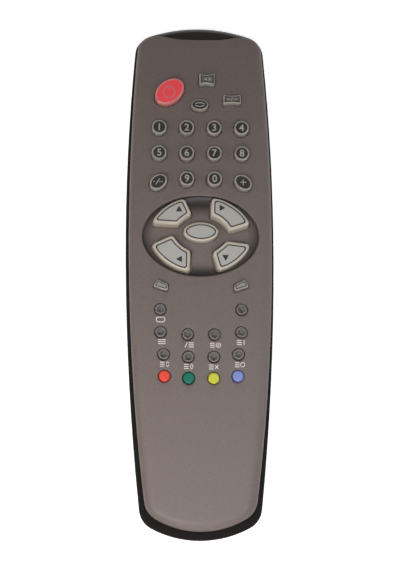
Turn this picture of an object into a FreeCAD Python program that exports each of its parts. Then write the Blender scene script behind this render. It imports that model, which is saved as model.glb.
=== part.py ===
"""Hand-held remote control: arched face, black tray, thirty-seven keys and a sliding battery cover.

Millimetres. X is across the remote, +Y points to the infrared end, +Z is up.
The remote lies on its flat back at Z = 0, with the origin under the middle of its length.
"""
import FreeCAD, Part
import math
import os

Vec = FreeCAD.Vector
UP = Vec(0, 0, 1)

# Outline of the black tray, seen from above
CASE_LENGTH = 200.0
TRAY_WIDTH = 57.1
TRAY_END_RADIUS = 56.0
TRAY_TAIL_RADIUS = 39.0
TRAY_SIDE_RADIUS_FRONT = 850.0
TRAY_SIDE_RADIUS_TAIL = 960.0
TRAY_FRONT_CORNER = 7.5
TRAY_TAIL_CORNER = 8.5
WIDEST_Y = 16.0
FRONT_Y = CASE_LENGTH / 2
TAIL_Y = -CASE_LENGTH / 2

# Outline of the painted top, which leaves a black band that widens towards the tail.
# Its long arch is drawn with flats, true to 0.02 mm.
TOP_WIDTH = 54.6
TOP_FRONT_GAP = 0.4
TOP_TAIL_GAP = 3.3
TOP_END_RADIUS = 56.0
TOP_TAIL_RADIUS = 33.0
TOP_SIDE_RADIUS_FRONT = 960.0
TOP_SIDE_RADIUS_TAIL = 818.0
TOP_FRONT_CORNER = 7.2
TOP_TAIL_CORNER = 8.5

# Heights and walls
FACE_HEIGHT = 20.0
ARCH_RADIUS = 1200.0
ARCH_FLAT_COUNT = 16
ARCH_OVERRUN = 4.0
SPLIT_HEIGHT = 12.6
TOP_WALL = 2.0
SIDE_WALL = 2.0
FLOOR = 2.0
FACE_EDGE_BEVEL = 1.3
TRAY_RIM_BEVEL = 0.5
TRAY_FOOT_INSET = 3.6
TRAY_HAUNCH_INSET = 0.9
TRAY_HAUNCH_HEIGHT = 2.6
TRAY_SIDE_FOOT = 7.0
LIP_DEPTH = 1.0
LIP_THICKNESS = 0.9
FIT = 0.1

# Snap hooks on the lip
HOOK_PLACES = (62.0, 12.0, -36.0)
HOOK_LENGTH = 6.0
HOOK_REACH = 0.7
HOOK_HEIGHT = 2.2

# Oval dish in the face, with a gently domed floor
DISH_Y = 13.7
DISH_HALF_LENGTH = 22.2
DISH_HALF_HEIGHT = 15.8
DISH_DEPTH = 1.2
DISH_DOME_RADIUS = 150.0
DOME_FLAT_COUNT = 6
DISH_FLAT_COUNT = 48
DISH_WALL = 1.4

# Infrared window in the front end
WINDOW_FLAT = 8.0
WINDOW_TIP = 19.0
WINDOW_DEPTH = 5.3
WINDOW_TIP_DEPTH = 2.9
WINDOW_FOOT = 6.0
WINDOW_WALL = 1.8
WINDOW_GAP = 0.25

# Keys. Round ones and their openings are drawn with flats, true to 0.1 mm.
KEY_TRAVEL = 1.0
CONTACT_GAP = 0.05
KEY_GAP = 0.3
FLANGE = 1.0
FLANGE_MARGIN = 0.35
FLANGE_SIDE = 0.7
FLANGE_CLEARANCE = 0.1
POST_SIDE = 3.2
KEY_EDGE = 0.3
ROUND_FLAT_COUNT = 16
OVAL_FLAT_COUNT = 20

COLUMN_PITCH = 10.6
ROW_PITCH = 10.35
FIRST_ROW_Y = 56.3
DIGIT_RADIUS = 2.85
DIGIT_RISE = 2.8
OVAL_X = 16.2
OVAL_Y = 34.2
OVAL_HALF_LENGTH = 3.6
OVAL_HALF_WIDTH = 2.75
OVAL_TILT = 38.0

POWER_X = -11.9
POWER_Y = 71.1
POWER_HALF_LENGTH = 6.3
POWER_HALF_WIDTH = 4.5
POWER_TILT = 40.0
POWER_RISE = 2.8

MUTE_X = 2.7
MUTE_Y = 76.4
MUTE_HALF_LENGTH = 3.0
MUTE_HALF_WIDTH = 2.4
MUTE_WAIST_X = -0.9
MUTE_WAIST = 1.6
RECALL_X = -0.2
RECALL_Y = 65.7
RECALL_HALF_LENGTH = 3.3
RECALL_HALF_WIDTH = 2.2
SOUND_X = 12.4
SOUND_Y = 68.1
SOUND_HALF_LENGTH = 3.4
SOUND_HALF_WIDTH = 1.85
SOUND_WAIST = 1.4
UPPER_RISE = 2.6

PETAL_RISE = 2.4
PETAL_HALF_LENGTH = 19.8
PETAL_HALF_HEIGHT = 14.9
PETAL_CORNER = 1.0
PETAL_EDGE = 0.45
PETAL_RIM_COUNT = 6
PETAL_ARC_COUNT = 4
# Plans of the petals about the middle of the dish: X where the rim's ellipse meets the lane, three
# points of the arc round the middle key, and X where the ellipse meets the side
PETAL_PLANS = {
    "channel_up_key": (-5.9, ((-3.0, 7.7), (-6.05, 5.65), (-8.7, 3.2)), -19.1),
    "volume_up_key": (3.7, ((3.4, 7.2), (8.0, 4.6), (10.7, 0.8)), 19.2),
    "channel_down_key": (6.1, ((3.9, -6.7), (6.95, -4.6), (9.6, -2.1)), 19.3),
    "volume_down_key": (-3.8, ((-3.6, -6.2), (-7.7, -3.6), (-10.4, 0.3)), -19.2),
}
SELECT_Y = 14.8
SELECT_HALF_LENGTH = 6.6
SELECT_HALF_WIDTH = 3.75
SELECT_RISE = 1.9

WEDGE_X = 15.2
WEDGE_Y = -5.6
WEDGE_RISE = 2.0
# Corners of the right-hand wedge about its place
WEDGE_CORNERS = ((1.1, 1.95), (-2.75, -0.1), (-2.7, -2.6), (3.05, -0.7))

SMALL_RADIUS = 1.95
SMALL_RISE = 1.0
SMALL_GAP = 0.4
HOLLOW_DEPTH = 0.4
HOLLOW_RIM = 0.6
COLOUR_RADIUS = 2.1
COLOUR_RISE = 1.1
PAIR_X = 15.3
PAIR_Y = -14.9
TEXT_ROW_X = (15.15, 5.0)
TEXT_ROW_Y = (-23.5, -24.35)
PAGE_ROW_X = (14.0, 4.8)
PAGE_ROW_Y = (-31.8, -32.8)
COLOUR_ROW_X = (13.7, 4.65)
COLOUR_ROW_Y = (-40.0, -40.75)

# Infrared diode behind the window
DIODE_RADIUS = 2.5
DIODE_COLLAR_RADIUS = 2.9
DIODE_COLLAR = 1.0
DIODE_LENGTH = 8.6
DIODE_SETBACK = 3.4
DIODE_TIP_Y = FRONT_Y - DIODE_SETBACK
DIODE_BACK_Y = DIODE_TIP_Y - DIODE_LENGTH
DIODE_HEIGHT = 8.4
NOSE_BEVELS = (1.1, 0.4)
LEAD_PITCH = 2.54
LEAD_SIDE = 0.5
LEAD_RUN = 4.0
LEAD_Y = DIODE_BACK_Y - LEAD_RUN
CRADLE_THICKNESS = 1.4
CRADLE_HALF_WIDTH = 4.5

# Battery bay for two cells side by side
CELL_FLAT_COUNT = 20
CELL_RADIUS = 5.25
CELL_LENGTH = 44.5
CELL_NUB_RADIUS = 1.9
CELL_NUB = 0.8
CELL_GAP = 0.15
BAY_SETBACK = 7.0
BAY_SPARE = 3.5
BAY_TAIL = TAIL_Y + BAY_SETBACK
BAY_FRONT = BAY_TAIL + CELL_LENGTH + BAY_SPARE
BAY_WALL = 1.2
BAY_ROOF = 1.0
CONTACT_SHEET = 0.4
CONTACT_HALF_WIDTH = 3.6
CONTACT_FOOT = 3.2
CONTACT_HEAD = 11.0
LEAF_HALF_WIDTH = 2.4
LEAF_HALF_HEIGHT = 3.4
LEAF_THICKNESS = 0.3
TAB_HALF_WIDTH = 1.0
TAB_LENGTH = 3.6

# Sliding battery cover
COVER_HALF_WIDTH = 13.4
COVER_THICKNESS = 1.6
COVER_OVERLAP = 1.0
COVER_FRONT = BAY_FRONT + COVER_OVERLAP
RAIL_REACH = 1.2
RAIL_THICKNESS = 0.7
RAIL_SETBACK = 1.0
RAIL_TAIL = BAY_TAIL + RAIL_SETBACK
SHOULDER_HALF_WIDTH = 16.4
SHOULDER_HEIGHT = 3.0
GRIP_RIB_COUNT = 5
GRIP_PITCH = 1.8
GRIP_SETBACK = 10.0
GRIP_Y = COVER_FRONT - GRIP_SETBACK
GRIP_HALF_WIDTH = 5.0
GRIP_DEPTH = 0.5

# Circuit board and rubber mat
BOARD_TOP = 12.4
BOARD_THICKNESS = 1.6
BOARD_GAP = 0.6
BOARD_DIODE_GAP = 2.0
BOARD_BAY_GAP = 0.2
BOARD_FRONT = DIODE_BACK_Y - BOARD_DIODE_GAP
BOARD_TAIL = BAY_FRONT + BAY_WALL + BOARD_BAY_GAP
MAT_THICKNESS = 0.8
MAT_HALF_WIDTH = 19.6
MAT_FRONT_GAP = 5.2
MAT_TAIL_GAP = 0.3
MAT_FRONT = BOARD_FRONT - MAT_FRONT_GAP
MAT_TAIL = BOARD_TAIL + MAT_TAIL_GAP
MAT_HOLE_GAP = 0.4

# Screws that hold the board to bosses under the face
PEG_FLAT_COUNT = 10
BOSS_X = 20.9
BOSS_Y = (64.8, -12.6)
BOSS_RADIUS = 2.3
SCREW_RADIUS = 1.0
SCREW_HEAD_RADIUS = 1.9
SCREW_HEAD = 1.2
SCREW_LENGTH = 5.0
SCREW_SLOT = 0.5

# Parts under the board
CHIP_X = 0.0
CHIP_Y = 46.0
CHIP_LENGTH = 10.3
CHIP_WIDTH = 7.5
CHIP_HEIGHT = 2.3
CHIP_LEG_COUNT = 8
CHIP_LEG_PITCH = 1.27
CHIP_LEG_WIDTH = 0.4
CHIP_LEG_REACH = 1.4
CHIP_LEG_THICKNESS = 0.3
STANDOFF = 0.15
RESONATOR_PLACE = (-12.0, 46.0)
RESONATOR_SIZE = (7.0, 9.0, 3.5)
RESONATOR_EDGE = 0.6
CAPACITOR_PLACE = (12.0, 70.0)
CAPACITOR_RADIUS = 2.5
CAPACITOR_LENGTH = 11.0
TRANSISTOR_GAP = 8.0
TRANSISTOR_PLACE = (-4.5, LEAD_Y - TRANSISTOR_GAP)
TRANSISTOR_RADIUS = 2.4
TRANSISTOR_LENGTH = 4.6
RESISTOR_PLACES = ((9.4, 48.0), (12.6, 48.0), (-9.0, 64.0))
RESISTOR_RADIUS = 1.15
RESISTOR_LENGTH = 6.2
RESISTOR_LEAD_SPAN = 10.2
FIN_PLACES = ((17.5, 40.0), (17.5, -28.0))
FIN_LENGTH = 8.0
FIN_THICKNESS = 1.4

# Blocks that cut or bound others reach well clear of them
HIGH = 40.0
OVERRUN = 1.0

TRAY = dict(half=TRAY_WIDTH / 2, front=FRONT_Y, tail=TAIL_Y,
            end=TRAY_END_RADIUS, tail_end=TRAY_TAIL_RADIUS,
            side_front=TRAY_SIDE_RADIUS_FRONT, side_tail=TRAY_SIDE_RADIUS_TAIL,
            corner_front=TRAY_FRONT_CORNER, corner_tail=TRAY_TAIL_CORNER)
TOP = dict(half=TOP_WIDTH / 2, front=FRONT_Y - TOP_FRONT_GAP, tail=TAIL_Y + TOP_TAIL_GAP,
           end=TOP_END_RADIUS, tail_end=TOP_TAIL_RADIUS,
           side_front=TOP_SIDE_RADIUS_FRONT, side_tail=TOP_SIDE_RADIUS_TAIL,
           corner_front=TOP_FRONT_CORNER, corner_tail=TOP_TAIL_CORNER)


def face_z(y):
    """Height of the arched face above the back, at a place along the remote."""
    return FACE_HEIGHT - ARCH_RADIUS + math.sqrt(ARCH_RADIUS ** 2 - y ** 2)


def box(x0, x1, y0, y1, z0, z1):
    """Block between two corners."""
    return Part.makeBox(x1 - x0, y1 - y0, z1 - z0, Vec(x0, y0, z0))


def rod(radius, start, end):
    """Round bar from one point to another."""
    axis = end.sub(start)
    return Part.makeCylinder(radius, axis.Length, start, axis)


def peg(radius, start, end, flats=PEG_FLAT_COUNT):
    """Small round bar drawn with flats, from one point to another along Y or Z."""
    axis = end.sub(start)
    upright = abs(axis.z) > abs(axis.y)
    corners = []
    for index in range(flats):
        angle = 2 * math.pi * (index + 0.5) / flats
        across = radius * math.cos(angle)
        along = radius * math.sin(angle)
        corners.append(start.add(Vec(across, along, 0) if upright else Vec(across, 0, along)))
    return Part.Face(Part.makePolygon(corners + corners[:1])).extrude(axis)


def circles_meet(centre_a, radius_a, centre_b, radius_b):
    """The meeting point of two circles that lies further from the widest place."""
    across = centre_b.sub(centre_a)
    gap = across.Length
    along = (radius_a ** 2 - radius_b ** 2 + gap ** 2) / (2 * gap)
    rise = math.sqrt(radius_a ** 2 - along ** 2)
    unit = across.multiply(1 / gap)
    foot = centre_a.add(Vec(unit.x * along, unit.y * along, 0))
    side = Vec(-unit.y * rise, unit.x * rise, 0)
    return max(foot.add(side), foot.sub(side), key=lambda point: abs(point.y - WIDEST_Y))


def on_circle(centre, radius, one, two):
    """Point of a circle half way between two of its points."""
    middle = one.add(two).multiply(0.5).sub(centre)
    middle.normalize()
    return centre.add(middle.multiply(radius))


def out_from(origin, towards, radius):
    """Point at a set distance from an origin, on the way to another point."""
    way = towards.sub(origin)
    way.normalize()
    return origin.add(way.multiply(radius))


def corner_arcs(plan, inset, z, end_centre, end_name, side_name, corner_name):
    """The right-hand side arc and corner arc of an outline, up to its front or its tail arc."""
    end, side, corner = plan[end_name], plan[side_name], plan[corner_name]
    side_centre = Vec(plan["half"] - side, WIDEST_Y, z)
    centre = circles_meet(end_centre, end - corner, side_centre, side - corner)
    wide = Vec(plan["half"] - inset, WIDEST_Y, z)
    on_side = out_from(side_centre, centre, side - inset)
    on_end = out_from(end_centre, centre, end - inset)
    middle = on_circle(side_centre, side - inset, wide, on_side)
    turn = on_circle(centre, corner - inset, on_side, on_end)
    return (wide, middle, on_side), (on_side, turn, on_end)


def outline_wire(plan, inset, z):
    """Level outline of ten arcs: two ends, four sides and four corners, drawn in by an inset."""
    def other(point):
        return Vec(-point.x, point.y, point.z)

    front = Vec(0, plan["front"] - inset, z)
    tail = Vec(0, plan["tail"] + inset, z)
    front_arcs = corner_arcs(plan, inset, z, Vec(0, plan["front"] - plan["end"], z),
                             "end", "side_front", "corner_front")
    tail_arcs = corner_arcs(plan, inset, z, Vec(0, plan["tail"] + plan["tail_end"], z),
                            "tail_end", "side_tail", "corner_tail")
    right = list(front_arcs) + [tuple(reversed(arc)) for arc in reversed(tail_arcs)]
    left = [tuple(other(point) for point in arc) for arc in right]
    ends = [(front_arcs[1][2], front, other(front_arcs[1][2])),
            (other(tail_arcs[1][2]), tail, tail_arcs[1][2])]
    edges = [Part.Arc(*arc).toShape() for arc in right + left + ends]
    return Part.Wire(Part.__sortEdges__(edges))


def outline_prism(plan, inset, low, high):
    """Upright prism on an outline."""
    return Part.Face(outline_wire(plan, inset, low)).extrude(Vec(0, 0, high - low))


def arch_block(radius, crown, reach, flats):
    """Block below an arch along Y, drawn with flats; the arch reaches an angle on both sides."""
    centre_z = crown - radius
    corners = [Vec(-HIGH, -radius * math.sin(reach), 0)]
    for index in range(flats + 1):
        angle = reach * (2 * index / flats - 1)
        corners.append(Vec(-HIGH, radius * math.sin(angle), centre_z + radius * math.cos(angle)))
    corners.append(Vec(-HIGH, radius * math.sin(reach), 0))
    return Part.Face(Part.makePolygon(corners + corners[:1])).extrude(Vec(2 * HIGH, 0, 0))


def under_arch(depth):
    """Everything below the face, or below a surface a set depth under it."""
    reach = math.asin((FRONT_Y + ARCH_OVERRUN) / ARCH_RADIUS)
    return arch_block(ARCH_RADIUS - depth, FACE_HEIGHT - depth, reach, ARCH_FLAT_COUNT)


def half_width(plan, y, inset=0.0):
    """Half of an outline's width at a place along its side arcs."""
    radius = plan["side_front"] if y > WIDEST_Y else plan["side_tail"]
    return plan["half"] - radius + math.sqrt(radius ** 2 - (y - WIDEST_Y) ** 2) - inset


def oval_points(x, y, half_length, half_width_, tilt, flats):
    """Corners of an oval drawn with flats, its long axis turned from X by a tilt in degrees."""
    turn = math.radians(tilt)
    points = []
    for index in range(flats):
        angle = 2 * math.pi * (index + 0.5) / flats
        along = half_length * math.cos(angle)
        across = half_width_ * math.sin(angle)
        points.append((x + along * math.cos(turn) - across * math.sin(turn),
                       y + along * math.sin(turn) + across * math.cos(turn)))
    return points


def polygon_wire(points, z):
    """Closed level polygon."""
    corners = [Vec(x, y, z) for x, y in points]
    return Part.makePolygon(corners + corners[:1])


def grown(wire, amount):
    """Outline moved outwards by an amount, or inwards if it is negative, with sharp corners."""
    return wire if amount == 0 else wire.makeOffset2D(amount, 2)


def raised(wire, z):
    """Copy of a level outline at another height."""
    copy = wire.copy()
    copy.translate(Vec(0, 0, z))
    return copy


class Key:
    """One push key: its outline, its height over the face and the gap that it runs in."""

    edge = KEY_EDGE

    def __init__(self, name, x, y, rise, gap=KEY_GAP, in_dish=False):
        self.name = name
        self.x = x
        self.y = y
        self.gap = gap
        self.in_dish = in_dish
        self.top = face_z(DISH_Y if in_dish else y) + rise

    def outline(self, amount):
        """The key's plan, grown by an amount."""
        raise NotImplementedError

    def flange_outline(self):
        """Plan of the flange that keeps the key under the face."""
        raise NotImplementedError

    def flange_top(self):
        """The flange stops under the case, or under the dish, at its lowest place."""
        if self.in_dish:
            return dish_underside() - FLANGE_CLEARANCE
        bounds = self.flange_outline().BoundBox
        furthest = max(abs(bounds.YMin), abs(bounds.YMax))
        return face_z(furthest) - TOP_WALL - FLANGE_CLEARANCE

    def solid(self):
        """Straight body with a bevelled top, flange and contact post in one piece."""
        flange_low = self.flange_top() - FLANGE
        body = Part.Face(raised(self.outline(0), flange_low)).extrude(Vec(0, 0, self.top - flange_low))
        crown = max(body.Faces, key=lambda face: face.CenterOfMass.z)
        body = body.makeChamfer(self.edge, crown.OuterWire.Edges)
        flange = Part.Face(raised(self.flange_outline(), flange_low)).extrude(Vec(0, 0, FLANGE))
        half = POST_SIDE / 2
        foot = BOARD_TOP + KEY_TRAVEL + CONTACT_GAP
        post = box(self.x - half, self.x + half, self.y - half, self.y + half, foot, flange_low)
        return body.fuse([flange, post]).cut(self.hollow()).removeSplitter()

    def hollow(self):
        """What is taken out of the top, on the small round keys only."""
        return []

    def opening(self):
        """Upright cut through the face that leaves the running gap round the key."""
        return Part.Face(self.outline(self.gap)).extrude(Vec(0, 0, HIGH))


class OvalKey(Key):
    """Key on a circle or an oval, with a square flange."""

    def __init__(self, name, x, y, rise, halves, tilt=0.0, gap=KEY_GAP, in_dish=False):
        self.halves = halves
        self.tilt = tilt
        self.flats = ROUND_FLAT_COUNT if halves[0] == halves[1] else OVAL_FLAT_COUNT
        super().__init__(name, x, y, rise, gap, in_dish)

    def outline(self, amount):
        points = oval_points(self.x, self.y, *self.halves, self.tilt, self.flats)
        return grown(polygon_wire(points, 0), amount)

    def flange_outline(self):
        if self.in_dish:
            return self.outline(self.gap + FLANGE_MARGIN)
        bounds = self.outline(self.gap + FLANGE_SIDE).BoundBox
        return polygon_wire([(bounds.XMin, bounds.YMin), (bounds.XMax, bounds.YMin),
                             (bounds.XMax, bounds.YMax), (bounds.XMin, bounds.YMax)], 0)


class HollowKey(OvalKey):
    """Small round key with a cup in its top."""

    def hollow(self):
        cup = Part.Face(raised(self.outline(-HOLLOW_RIM), self.top - HOLLOW_DEPTH))
        return [cup.extrude(UP)]


class ShapedKey(Key):
    """Key on an outline of its own, with a flange that follows it."""

    def __init__(self, name, x, y, rise, wire, in_dish=False):
        self.wire = wire
        super().__init__(name, x, y, rise, in_dish=in_dish)

    def outline(self, amount):
        return grown(self.wire, amount)

    def flange_outline(self):
        return self.outline(self.gap + FLANGE_MARGIN)


class PetalKey(ShapedKey):
    """Key in the dish with a wide bevel round its top."""

    edge = PETAL_EDGE


def under_dish_floor():
    """Everything below the dish's domed floor, which arches both ways."""
    crown = face_z(DISH_Y) - DISH_DEPTH
    reach = math.asin((DISH_HALF_LENGTH + DISH_WALL) / DISH_DOME_RADIUS)
    along = arch_block(DISH_DOME_RADIUS, crown, reach, DOME_FLAT_COUNT)
    across = along.copy()
    across.rotate(Vec(0, 0, 0), UP, 90)
    dome = along.common(across)
    dome.translate(Vec(0, DISH_Y, 0))
    return dome


def dish_underside():
    """Flat underside of the dish, one wall below the lowest place of its floor."""
    dome = DISH_DOME_RADIUS - math.sqrt(DISH_DOME_RADIUS ** 2 - DISH_HALF_LENGTH ** 2)
    return face_z(DISH_Y) - DISH_DEPTH - dome - DISH_WALL


def dish_plan(grow, flats):
    """Oval of the dish, grown by a wall."""
    half_length = DISH_HALF_LENGTH + grow
    half_height = DISH_HALF_HEIGHT + grow
    return polygon_wire(oval_points(0, DISH_Y, half_length, half_height, 0, flats), 0)


def on_petal_ellipse(x):
    """Point of the ellipse that bounds the four petals, from its X, on the upper side."""
    return PETAL_HALF_HEIGHT * math.sqrt(1 - (x / PETAL_HALF_LENGTH) ** 2)


def petal_wire(lane_x, inner, side_x):
    """Petal outline about the middle of the dish.

    A line along the lane, an inner arc round the middle key, a line back to the rim and an outer
    arc that follows the rim, on the side of the dish's middle where the inner arc starts.
    """
    side = math.copysign(1, inner[0][1])

    def on_rim(x):
        return Vec(x, DISH_Y + side * on_petal_ellipse(x), 0)

    outer = Part.Arc(on_rim(side_x), on_rim((lane_x + side_x) / 2), on_rim(lane_x)).toShape()
    inner_arc = Part.Arc(*(Vec(x, DISH_Y + y, 0) for x, y in inner)).toShape()
    rim = outer.discretize(PETAL_RIM_COUNT + 1)
    turn = inner_arc.discretize(PETAL_ARC_COUNT + 1)
    points = nipped_ends(rim, turn[-1], turn[0]) + nipped_ends(turn, rim[-1], rim[0])
    return Part.makePolygon(points + points[:1])


def nipped_ends(points, before, after):
    """Row of points whose two end corners are cut off towards their neighbours."""
    first = [out_from(points[0], before, PETAL_CORNER), out_from(points[0], points[1], PETAL_CORNER)]
    last = [out_from(points[-1], points[-2], PETAL_CORNER), out_from(points[-1], after, PETAL_CORNER)]
    return first + points[1:-1] + last


def petal_keys():
    """Two channel petals and two volume petals round the middle key."""
    keys = []
    for name, plan in PETAL_PLANS.items():
        wire = petal_wire(*plan)
        centre = Part.Face(wire).CenterOfMass
        keys.append(PetalKey(name, centre.x, centre.y, PETAL_RISE, wire, in_dish=True))
    return keys


def all_keys():
    """Every key of the remote, from the front end to the tail."""
    power = (POWER_HALF_LENGTH, POWER_HALF_WIDTH)
    recall = (RECALL_HALF_LENGTH, RECALL_HALF_WIDTH)
    keys = [OvalKey("power_key", POWER_X, POWER_Y, POWER_RISE, power, POWER_TILT),
            OvalKey("recall_key", RECALL_X, RECALL_Y, UPPER_RISE, recall)]
    mute = [(-MUTE_HALF_LENGTH, MUTE_HALF_WIDTH), (MUTE_WAIST_X, MUTE_WAIST),
            (MUTE_HALF_LENGTH, MUTE_HALF_WIDTH), (MUTE_HALF_LENGTH, -MUTE_HALF_WIDTH),
            (MUTE_WAIST_X, -MUTE_WAIST), (-MUTE_HALF_LENGTH, -MUTE_HALF_WIDTH)]
    sound = [(-SOUND_HALF_LENGTH, SOUND_HALF_WIDTH), (0, SOUND_WAIST),
             (SOUND_HALF_LENGTH, SOUND_HALF_WIDTH), (SOUND_HALF_LENGTH, -SOUND_HALF_WIDTH),
             (0, -SOUND_WAIST), (-SOUND_HALF_LENGTH, -SOUND_HALF_WIDTH)]
    for name, x, y, points in (("mute_key", MUTE_X, MUTE_Y, mute),
                               ("sound_key", SOUND_X, SOUND_Y, sound)):
        wire = polygon_wire([(x + px, y + py) for px, py in points], 0)
        keys.append(ShapedKey(name, x, y, UPPER_RISE, wire))

    for row, digits in enumerate(("1234", "5678", " 90 ")):
        for column, digit in enumerate(digits):
            if digit != " ":
                x = (column - 1.5) * COLUMN_PITCH
                y = FIRST_ROW_Y - row * ROW_PITCH
                keys.append(OvalKey("digit_key_" + digit, x, y, DIGIT_RISE, (DIGIT_RADIUS, DIGIT_RADIUS)))
    oval = (OVAL_HALF_LENGTH, OVAL_HALF_WIDTH)
    for name, side in (("dash_key", -1), ("plus_key", 1)):
        keys.append(OvalKey(name, side * OVAL_X, OVAL_Y, DIGIT_RISE, oval, -side * OVAL_TILT))

    keys += petal_keys()
    select = (SELECT_HALF_LENGTH, SELECT_HALF_WIDTH)
    keys.append(OvalKey("select_key", 0, SELECT_Y, SELECT_RISE, select, in_dish=True))

    for name, side in (("store_key", -1), ("search_key", 1)):
        points = [(side * (WEDGE_X + px), WEDGE_Y + py) for px, py in WEDGE_CORNERS]
        keys.append(ShapedKey(name, side * WEDGE_X, WEDGE_Y, WEDGE_RISE, polygon_wire(points, 0)))

    small = (SMALL_RADIUS, SMALL_RADIUS)
    for name, side in (("screen_key", -1), ("source_key", 1)):
        keys.append(HollowKey(name, side * PAIR_X, PAIR_Y, SMALL_RISE, small, gap=SMALL_GAP))
    rows = (
        (("text_key", "mix_key", "clock_key", "index_key"), TEXT_ROW_X, TEXT_ROW_Y),
        (("size_key", "page_key", "cancel_key", "reveal_key"), PAGE_ROW_X, PAGE_ROW_Y),
    )
    for names, across, along in rows:
        for name, x, y in row_places(names, across, along):
            keys.append(HollowKey(name, x, y, SMALL_RISE, small, gap=SMALL_GAP))
    colours = ("red_key", "green_key", "yellow_key", "blue_key")
    for name, x, y in row_places(colours, COLOUR_ROW_X, COLOUR_ROW_Y):
        keys.append(OvalKey(name, x, y, COLOUR_RISE, (COLOUR_RADIUS, COLOUR_RADIUS)))
    return keys


def row_places(names, across, along):
    """Places of a row of four, with the two middle ones a little nearer the tail."""
    xs = (-across[0], -across[1], across[1], across[0])
    ys = (along[0], along[1], along[1], along[0])
    return zip(names, xs, ys)


def window_region(grow, low, high):
    """Plan of the infrared window: flat in the middle, rising to a tip on each side."""
    base = TOP["front"] - WINDOW_DEPTH - grow
    tip = TOP["front"] - WINDOW_TIP_DEPTH - grow
    points = [(-WINDOW_TIP, FRONT_Y + OVERRUN), (-WINDOW_TIP, tip), (-WINDOW_FLAT, base),
              (WINDOW_FLAT, base), (WINDOW_TIP, tip), (WINDOW_TIP, FRONT_Y + OVERRUN)]
    return Part.Face(polygon_wire(points, low)).extrude(Vec(0, 0, high - low))


def top_block():
    """Outside of the painted top, with its edge broken all round the face."""
    block = outline_prism(TOP, 0, SPLIT_HEIGHT, HIGH).common(under_arch(0))
    flats = [face for face in block.Faces if face.normalAt(0, 0).z > 0.9]
    rim = [edge for flat in flats for edge in flat.Edges if not isinstance(edge.Curve, Part.Line)]
    return block.makeChamfer(FACE_EDGE_BEVEL, rim)


def tray_block():
    """Outside of the black tray: it draws in twice towards its foot, and its rim is broken."""
    sections = ((TRAY_FOOT_INSET, 0), (TRAY_HAUNCH_INSET, TRAY_HAUNCH_HEIGHT), (0, TRAY_SIDE_FOOT),
                (0, SPLIT_HEIGHT - TRAY_RIM_BEVEL), (TRAY_RIM_BEVEL, SPLIT_HEIGHT))
    return Part.makeLoft([outline_wire(TRAY, inset, z) for inset, z in sections], True, True)


def hooks(grow):
    """Tongues that hang from the lip with a barb at their ends, or their pockets when grown."""
    made = []
    for y in HOOK_PLACES:
        inner = half_width(TOP, y, SIDE_WALL) - grow
        outer = half_width(TOP, y, SIDE_WALL - LIP_THICKNESS) + grow
        low = SPLIT_HEIGHT - LIP_DEPTH - HOOK_HEIGHT - grow
        barb = SPLIT_HEIGHT - LIP_DEPTH - HOOK_HEIGHT / 2 + grow
        for side in (-1, 1):
            points = [Vec(side * inner, 0, low), Vec(side * outer, 0, low),
                      Vec(side * (outer + HOOK_REACH), 0, barb), Vec(side * outer, 0, barb),
                      Vec(side * outer, 0, SPLIT_HEIGHT), Vec(side * inner, 0, SPLIT_HEIGHT)]
            face = Part.Face(Part.makePolygon(points + points[:1]))
            hook = face.extrude(Vec(0, HOOK_LENGTH + 2 * grow, 0))
            hook.translate(Vec(0, y - HOOK_LENGTH / 2 - grow, 0))
            made.append(hook)
    return made


def upper_case(keys):
    """Painted top: arched shell with the dish, a lip, screw bosses and an opening for every key."""
    inside = outline_prism(TOP, SIDE_WALL, 0, HIGH).common(under_arch(TOP_WALL))
    shell = top_block().cut(inside)
    lip_low = SPLIT_HEIGHT - LIP_DEPTH
    lip_high = SPLIT_HEIGHT + LIP_DEPTH
    lip = outline_prism(TOP, SIDE_WALL - LIP_THICKNESS, lip_low, lip_high)
    lip = lip.cut(outline_prism(TOP, SIDE_WALL, 0, HIGH))
    base = Part.Face(raised(dish_plan(DISH_WALL, OVAL_FLAT_COUNT), dish_underside()))
    boss_top = face_z(DISH_Y + DISH_HALF_HEIGHT + DISH_WALL) - TOP_WALL / 2
    dish_boss = base.extrude(Vec(0, 0, boss_top - dish_underside()))
    posts = [peg(BOSS_RADIUS, Vec(x, y, BOARD_TOP), Vec(x, y, face_z(y) - TOP_WALL / 2))
             for x, y in boss_places()]
    shell = shell.fuse([lip, dish_boss] + posts + hooks(0))

    dish = Part.Face(dish_plan(0, DISH_FLAT_COUNT)).extrude(Vec(0, 0, HIGH)).cut(under_dish_floor())
    pilots = [screw_shank(x, y) for x, y in boss_places()]
    window = window_region(WINDOW_GAP, 0, HIGH)
    openings = [key.opening() for key in keys]
    return shell.cut([dish, window] + pilots + openings).removeSplitter()


def cover_recess():
    """Room for the battery cover and its rails, open at the tail."""
    half = COVER_HALF_WIDTH + FIT
    reach = half + RAIL_REACH
    front = COVER_FRONT + FIT
    top = COVER_THICKNESS + FIT
    panel = box(-half, half, TAIL_Y - OVERRUN, front, -OVERRUN, top)
    rails = box(-reach, reach, TAIL_Y - OVERRUN, front, COVER_THICKNESS - RAIL_THICKNESS - FIT, top)
    return panel.fuse(rails)


def cell_axis_z():
    """Height of the cells' middle line above the back."""
    return COVER_THICKNESS + FIT + CELL_GAP + CELL_RADIUS


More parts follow.
